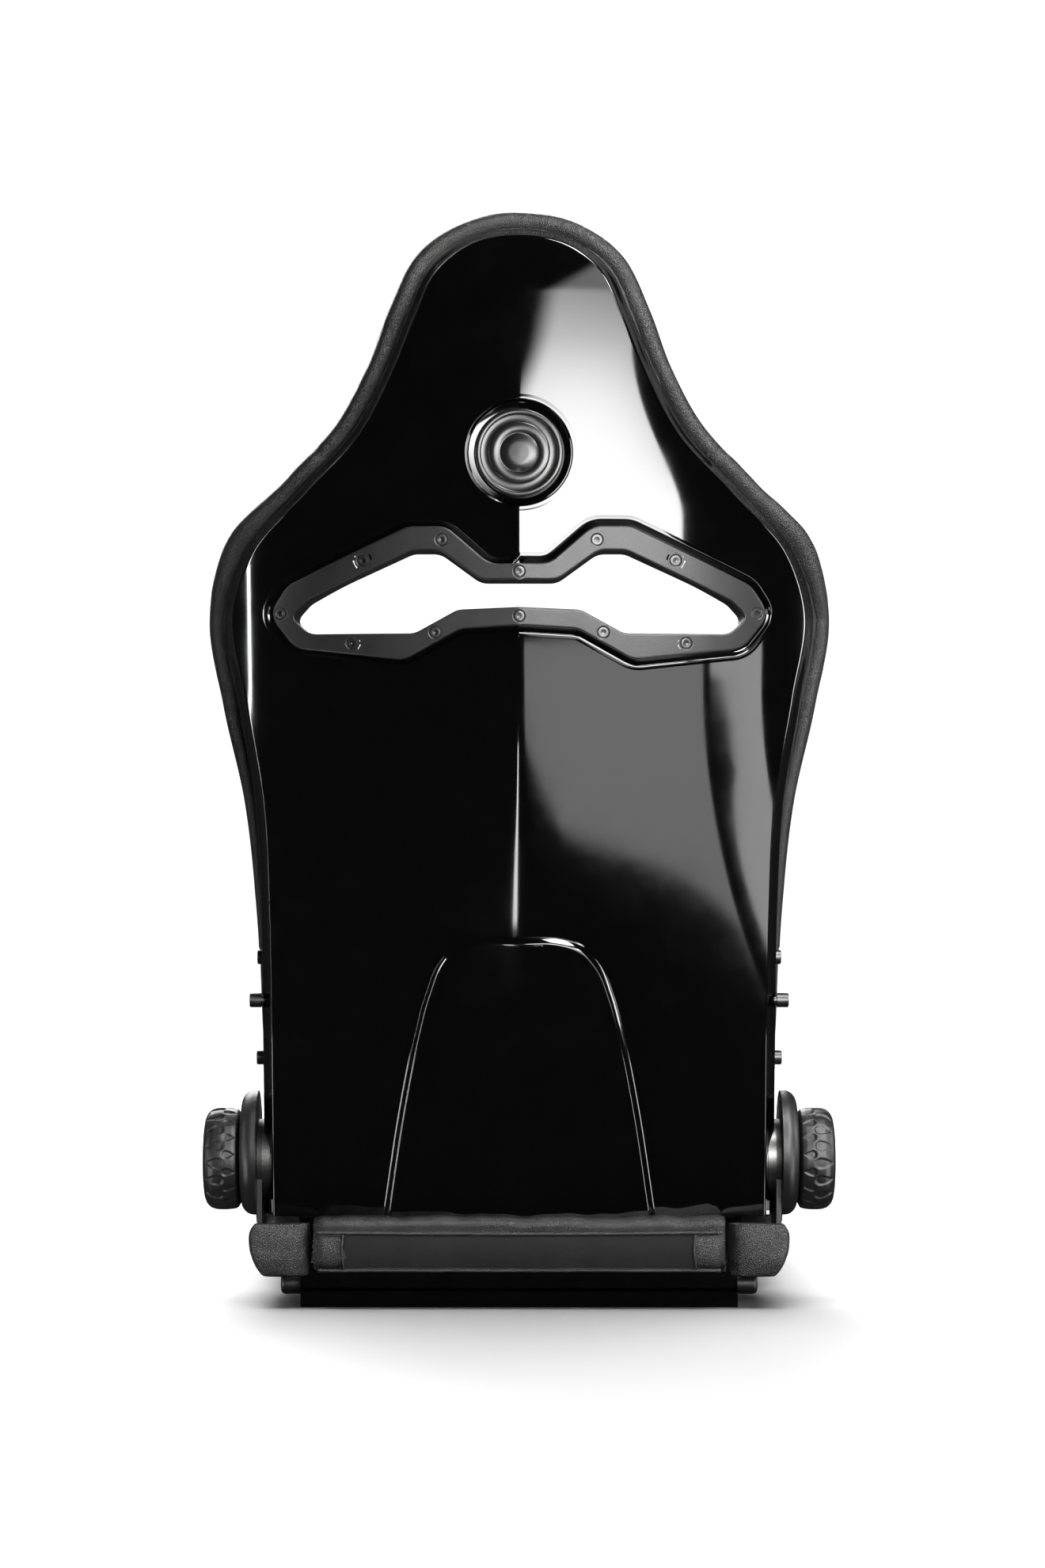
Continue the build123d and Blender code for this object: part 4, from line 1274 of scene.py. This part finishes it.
@dataclass
class RearRoll:
    """Folded rear end of the seat cushion: leather roll, suede panel, end tabs and piping."""

    half: float = 184.0
    panel_half: float = 157.0
    profile: tuple = ((101, 34), (160, 33.4), (206, 33), (215, 34), (221, 39), (224, 46),
                      (224.6, 56), (223, 65), (219, 69), (221, 72.5), (222, 77), (217, 81.5),
                      (206, 83), (190, 80), (172, 66), (150, 53), (128, 56), (101, 72))

    def build(self) -> None:
        """Make the roll, its panel, tabs, piping and stitches."""
        loop = curve_through([*self.profile, self.profile[0]], 90)[:-1]
        x = np.linspace(-self.half, self.half, 150)[:, None]
        end = 1 - 0.10 * np.exp(-((self.half - np.abs(x)) / 5.0)**2)
        middle = np.array([165.0, 56.0])
        y = middle[0] + (loop[:, 0] - middle[0])[None] * end
        z = middle[1] + (loop[:, 1] - middle[1])[None] * end
        place = np.stack([x + 0 * y, y, z], axis=-1)
        crease = ripple(place * np.array([1.0, 0.5, 0.35]), 26, 3)
        rear = step(y, 150, 210)
        place[..., 1] += 1.2 * crease * rear
        place[..., 2] += (1.5 * ripple(place, 60, 8) + 1.2 * crease * step(z, 60, 78)) * rear
        middle_sag = 1.8 * np.cos(np.clip(x / self.half, -1, 1) * np.pi / 2) * step(z, 60, 80)
        place[..., 2] -= middle_sag * rear
        first, last = place[:1].mean(axis=1), place[-1:].mean(axis=1)
        caps = [np.repeat(end_place[:, None], loop.shape[0], 1) for end_place in (first, last)]
        plan = MeshPlan()
        plan.grid(np.concatenate([caps[0], place, caps[1]]), close_columns=True)
        roll = dress(plan.build("cushion_rear_roll_pad"), LEATHER, "seat_base", "cushion_rear_roll")
        self.panel()
        self.trim()

    def face(self, x: np.ndarray, z: np.ndarray, lift: float) -> np.ndarray:
        """Places just behind the roll's rear face.

        Args:
            x: Distances from the centre line.
            z: Heights.
            lift: Distance behind the face.

        Returns:
            The places, with x, y and z last.
        """
        y = 224.4 - 0.012 * (z - 54)**2 + lift
        place = np.stack([x, y + 0 * x, z + 0 * x], axis=-1)
        place[..., 1] += 1.2 * ripple(place * np.array([1.0, 0.5, 0.35]), 26, 3)
        return place

    def panel(self) -> None:
        """Suede panel let into the roll's rear face, slack between its seams."""
        x = np.linspace(-self.panel_half, self.panel_half, 120)[:, None]
        share = np.linspace(0, 1, 22)[None]
        z = 36.5 + (67.5 - 36.5) * share - 1.2 * np.cos(x / self.panel_half * np.pi / 2) * share
        swell = np.sin(np.pi * share)**0.6 * (1 - (x / self.panel_half)**10)
        place = self.face(x + 0 * z, z, 0.2)
        place[..., 1] += 1.9 * swell + 0.7 * ripple(place, 34, 21) * swell
        plan = MeshPlan()
        plan.grid(place)
        piece = plan.build("roll_suede_panel", outward=(0, 1, 0))
        wall = piece.modifiers.new("cloth", "SOLIDIFY")
        wall.thickness = 1.2 * MM
        wall.offset = -1.0
        dress(piece, SUEDE, "seat_base")

    def trim(self) -> None:
        """Piping along the panel's seams, and stitches on the leather tabs at both ends."""
        piping, thread = MeshPlan(), MeshPlan()
        x = np.linspace(-self.half + 4, self.half - 4, 160)
        upper = self.face(x, np.full(160, 69.0) - 1.2 * np.cos(x / self.half * np.pi / 2), 0.6)
        lower = self.face(x, np.full(160, 35.0), 0.4)
        tube(piping, upper, 1.7, (0, 0, 1))
        tube(piping, lower, 1.9, (0, 0, 1))
        z = np.linspace(37, 67, 40)
        for side in (-1, 1):
            for offset in (0.0, 22.5):
                across = side * (self.panel_half + offset) + np.sin(z / 7)
                seam = self.face(across, z, 1.2)
                if offset == 0.0:
                    tube(piping, seam, 1.2, (1, 0, 0))
                stitches(thread, seam + np.array([side * 3.2, 0.1, 0.0]), (0, 1, 0))
        dress(piping.build("roll_piping"), LEATHER, "seat_base")
        dress(thread.build("roll_stitches"), THREAD, "seat_base")


# ---------------------------------------------------------------- recliners

@dataclass
class ReclinerKnob:
    """Hand wheel with two rows of grip dimples round its rim."""

    radius: float = 46.5
    grips: int = 18
    axis: tuple = (150.0, 128.0)

    def build(self, side: int, name: str) -> None:
        """Make one knob's wheel.

        Args:
            side: 1 for the occupant's left, -1 for the right.
            name: "left" or "right".
        """
        rim = [(253.0, 8.0), (253.0, 30.0), (253.2, 39.0), (253.9, 42.2), (255.6, 44.6),
               (259.0, 45.7), (265.0, 46.3), (271.0, 46.4), (276.0, 45.9), (280.0, 44.4),
               (283.2, 41.4), (285.0, 37.6), (285.8, 33.0), (286.0, 28.0), (285.7, 25.6),
               (284.6, 24.6), (282.6, 24.2)]
        line = resample(np.asarray(rim), 96)
        angle = np.linspace(0, 2 * np.pi, 432, endpoint=False)[:, None]
        x, r = line[:, 0][None], line[:, 1][None]
        pitch = 2 * np.pi / self.grips
        turn = (angle + pitch / 2) % pitch - pitch / 2
        other = angle % pitch - pitch / 2
        lens = 1 - ((x - 274.5) / 8.5)**2 - (turn * self.radius / (4.6 - 0.28 * (x - 274.5)))**2
        wedge_width = np.maximum(1.2 + 0.42 * (x - 257.0), 0.4)
        wedge = 1 - ((x - 262.0) / 6.0)**2 - (other * self.radius / wedge_width)**2
        on_rim = step(r, 36, 42)
        depth = (1.5 * step(lens, 0.0, 0.35) + 1.2 * step(wedge, 0.0, 0.4)) * on_rim
        radius = r - depth
        y = self.axis[0] + radius * np.cos(angle)
        z = self.axis[1] + radius * np.sin(angle)
        plan = MeshPlan()
        plan.grid(np.stack([side * (x + 0 * y), y, z], axis=-1), close_rows=True)
        dress(plan.build(f"knob_wheel_{name}"), PLASTIC, "recliner_drive", f"recliner_knob_{name}",
              sharp=60)


# ---------------------------------------------------------------- studio

@dataclass(frozen=True)
class SoftBox:
    """One soft box: its middle and aim in metres, its width and height, and its power in watts.

    Roll turns it about its own axis, in degrees. Fade is how much darker its top is than its foot.
    With corner, its upper corner nearer the middle is cut off, softly and aslant.
    """

    name: str
    place: tuple
    aim: tuple
    size: tuple
    power: float
    roll: float = 0.0
    fade: float = 0.0
    corner: bool = False


GLOSS_BOXES = [
    SoftBox("key_box", (-0.715, 2.2, 1.60), (-0.715, 0.0, 1.60), (1.33, 2.3), 230,
            fade=0.87, corner=True),
    SoftBox("grey_card", (-1.12, 2.2, 0.13), (-1.0, 0.0, 0.2), (1.32, 0.44), 6, roll=6),
    SoftBox("side_box", (-2.9, 2.1, 0.17), (-0.2, 0.2, 0.5), (1.5, 0.30), 8),
    SoftBox("bevel_card", (0.64, 0.49, -0.02), (0.1, 0.24, 0.2), (0.12, 0.36), 1.8),
    SoftBox("far_bevel_card", (-0.64, 0.49, -0.02), (-0.1, 0.24, 0.2), (0.12, 0.36), 1.8),
    SoftBox("ridge_card", (0.045, 1.05, 0.18), (0.0, 0.25, 0.42), (0.045, 0.22), 0.5),
    SoftBox("left_strip", (2.3, 0.45, 0.6), (0, 0.2, 0.5), (0.06, 1.7), 12),
    SoftBox("right_strip", (-2.4, -0.1, 0.9), (0, 0.2, 0.7), (0.4, 1.2), 26),
    SoftBox("top_box", (-0.7, 0.9, 2.5), (0, 0.2, 0.9), (0.8, 0.6), 60),
    SoftBox("high_box", (-1.25, 1.35, 1.7), (0, 0.2, 0.5), (0.5, 0.5), 34),
]
FRONT_BOX = SoftBox("front_box", (0.6, -2.8, 2.0), (0, 0.0, 0.5), (2.2, 1.8), 110)
OVERHEAD = SoftBox("overhead", (0.0, -0.9, 3.6), (0, -0.1, 0), (5.0, 5.0), 330)


@dataclass
class Studio:
    """Pale floor, soft lights and the camera."""

    distance: float = 3.55
    aside: float = -0.003
    height: float = 0.469
    lens: float = 85.7
    floor_half: float = 2600.0
    background: float = 1.15
    ambient: float = 0.025
    fade_span: tuple = (0.12, 0.50)
    corner_slope: float = -1.0
    corner_span: tuple = (0.10, 0.30)

    def area(self, box: SoftBox) -> bpy.types.Object:
        """Add one soft box, hidden from the camera.

        Args:
            box: What it is like.

        Returns:
            The light.
        """
        data = bpy.data.lights.new(box.name, "AREA")
        data.shape, data.energy = "RECTANGLE", box.power
        data.size, data.size_y = box.size
        lamp = bpy.data.objects.new(box.name, data)
        lamp.location = box.place
        facing = (Vector(box.aim) - Vector(box.place)).to_track_quat("-Z", "Y")
        lamp.rotation_euler = (facing @ Quaternion((0, 0, 1), np.radians(box.roll))).to_euler()
        if box.fade:
            self.fade_up(data, box.fade, box.corner)
        lamp.visible_camera = False
        bpy.context.scene.collection.objects.link(lamp)
        return lamp

    def fade_up(self, data: bpy.types.AreaLight, fade: float, corner: bool) -> None:
        """Dim a soft box from its foot to its top, and cut its inner upper corner off.

        Args:
            data: The light's data.
            fade: How much darker the top is than the foot.
            corner: Whether the corner is cut off.
        """
        data.use_nodes = True
        tree = data.node_tree
        where = tree.nodes.new("ShaderNodeNewGeometry")
        split = tree.nodes.new("ShaderNodeSeparateXYZ")
        dim = tree.nodes.new("ShaderNodeMapRange")
        dim.interpolation_type = "SMOOTHSTEP"
        low, high = self.fade_span
        dim.inputs["From Min"].default_value, dim.inputs["From Max"].default_value = low, high
        dim.inputs["To Min"].default_value, dim.inputs["To Max"].default_value = 1.0, 1.0 - fade
        tree.links.new(where.outputs["Parametric"], split.inputs[0])
        tree.links.new(split.outputs["Y"], dim.inputs["Value"])
        strength = dim.outputs["Result"]
        if corner:
            slant = self.blend(tree, split.outputs["X"], split.outputs["Y"])
            both = tree.nodes.new("ShaderNodeMath")
            both.operation = "MULTIPLY"
            tree.links.new(strength, both.inputs[0])
            tree.links.new(slant, both.inputs[1])
            strength = both.outputs[0]
        tree.links.new(strength, tree.nodes["Emission"].inputs["Strength"])

    def blend(self, tree: bpy.types.NodeTree, across: bpy.types.NodeSocket,
              up: bpy.types.NodeSocket) -> bpy.types.NodeSocket:
        """Mask that is 1 below a slanting line on a soft box and 0 above it.

        Args:
            tree: The light's nodes.
            across: Place across the box, from 0 to 1.
            up: Place up the box, from 0 to 1.

        Returns:
            The mask.
        """
        lean = tree.nodes.new("ShaderNodeMath")
        lean.operation = "MULTIPLY_ADD"
        lean.inputs[1].default_value = self.corner_slope
        tree.links.new(across, lean.inputs[0])
        tree.links.new(up, lean.inputs[2])
        edge = tree.nodes.new("ShaderNodeMapRange")
        edge.interpolation_type = "SMOOTHSTEP"
        low, high = self.corner_span
        edge.inputs["From Min"].default_value, edge.inputs["From Max"].default_value = low, high
        edge.inputs["To Min"].default_value, edge.inputs["To Max"].default_value = 1.0, 0.0
        tree.links.new(lean.outputs[0], edge.inputs["Value"])
        return edge.outputs["Result"]

    def build(self) -> None:
        """Make floor, world, lights and camera."""
        self.floor()
        self.world()
        for box in GLOSS_BOXES:
            self.area(box).visible_diffuse = False
        self.area(FRONT_BOX)
        overhead = self.area(OVERHEAD)
        overhead.visible_glossy = False
        camera = bpy.data.cameras.new("camera")
        camera.lens, camera.sensor_width = self.lens, 36.0
        eye = bpy.data.objects.new("camera", camera)
        eye.location = (self.aside, self.distance, self.height)
        eye.rotation_euler = (np.radians(90), 0, np.radians(180))
        bpy.context.scene.collection.objects.link(eye)
        bpy.context.scene.camera = eye
        bpy.context.scene.view_settings.view_transform = "Standard"

    def floor(self) -> None:
        """Pale floor with faint mottling, which the gloss surfaces don't mirror."""
        plan = MeshPlan()
        line = np.linspace(-self.floor_half, self.floor_half, 13)
        x, y = np.meshgrid(line, line, indexing="ij")
        plan.grid(np.stack([x, y, 0 * x - 0.2], axis=-1))
        floor = plan.build("floor", outward=(0, 0, 1))
        finish = Finish("pale_floor", "", Texture.MOULDED, 4, 0.0, grey(0.86), grey(0.9),
                        (0.8, 0.9))
        floor.data.materials.append(finish.material())
        floor.visible_glossy = False

    def world(self) -> None:
        """White surroundings that light the seat faintly, so it mirrors the lights alone."""
        world = bpy.data.worlds.new("surroundings")
        bpy.context.scene.world = world
        world.use_nodes = True
        tree = world.node_tree
        tree.nodes.clear()
        path = tree.nodes.new("ShaderNodeLightPath")
        white, dim = [tree.nodes.new("ShaderNodeBackground") for _ in range(2)]
        for node, strength in ((white, self.background), (dim, self.ambient)):
            node.inputs["Color"].default_value = (1, 1, 1, 1)
            node.inputs["Strength"].default_value = strength
        mix = tree.nodes.new("ShaderNodeMixShader")
        sink = tree.nodes.new("ShaderNodeOutputWorld")
        tree.links.new(path.outputs["Is Camera Ray"], mix.inputs[0])
        tree.links.new(dim.outputs[0], mix.inputs[1])
        tree.links.new(white.outputs[0], mix.inputs[2])
        tree.links.new(mix.outputs[0], sink.inputs["Surface"])


def main() -> None:
    """Build the seat in order, then its surroundings."""
    dress_kept_nodes()
    RearShell().build()
    ArchPanel().build()
    TrimRing().build()
    dress_badge()
    blow_up([
        Pad("seat_cushion", SUEDE, "seat_base", 5.0, 4, 10, shape=crown_seat),
        Pad("thigh_bolster", LEATHER, "seat_base", 6.5, 4, 9, paired=True),
        Pad("bolster_rear_corner", LEATHER, "seat_base", 3.5, 1.5, 3, paired=True,
            shape=draw_corner),
        Pad("back_cushion", SUEDE, "backrest", 5.0, 3, 7, shape=quilt_back),
        Pad("head_cushion", LEATHER, "backrest", 5.5, 3.0, 3.4),
        Pad("shoulder_wing", LEATHER, "backrest", 5.5, 3.0, 3.4, paired=True),
        Pad("back_bolster", LEATHER, "backrest", 5.5, 3.0, 3.4, paired=True),
    ])
    LeatherBorder().build()
    RearRoll().build()
    for side, name in ((1, "left"), (-1, "right")):
        ReclinerKnob().build(side, name)
    Studio().build()


if __name__ == "__main__":
    main()
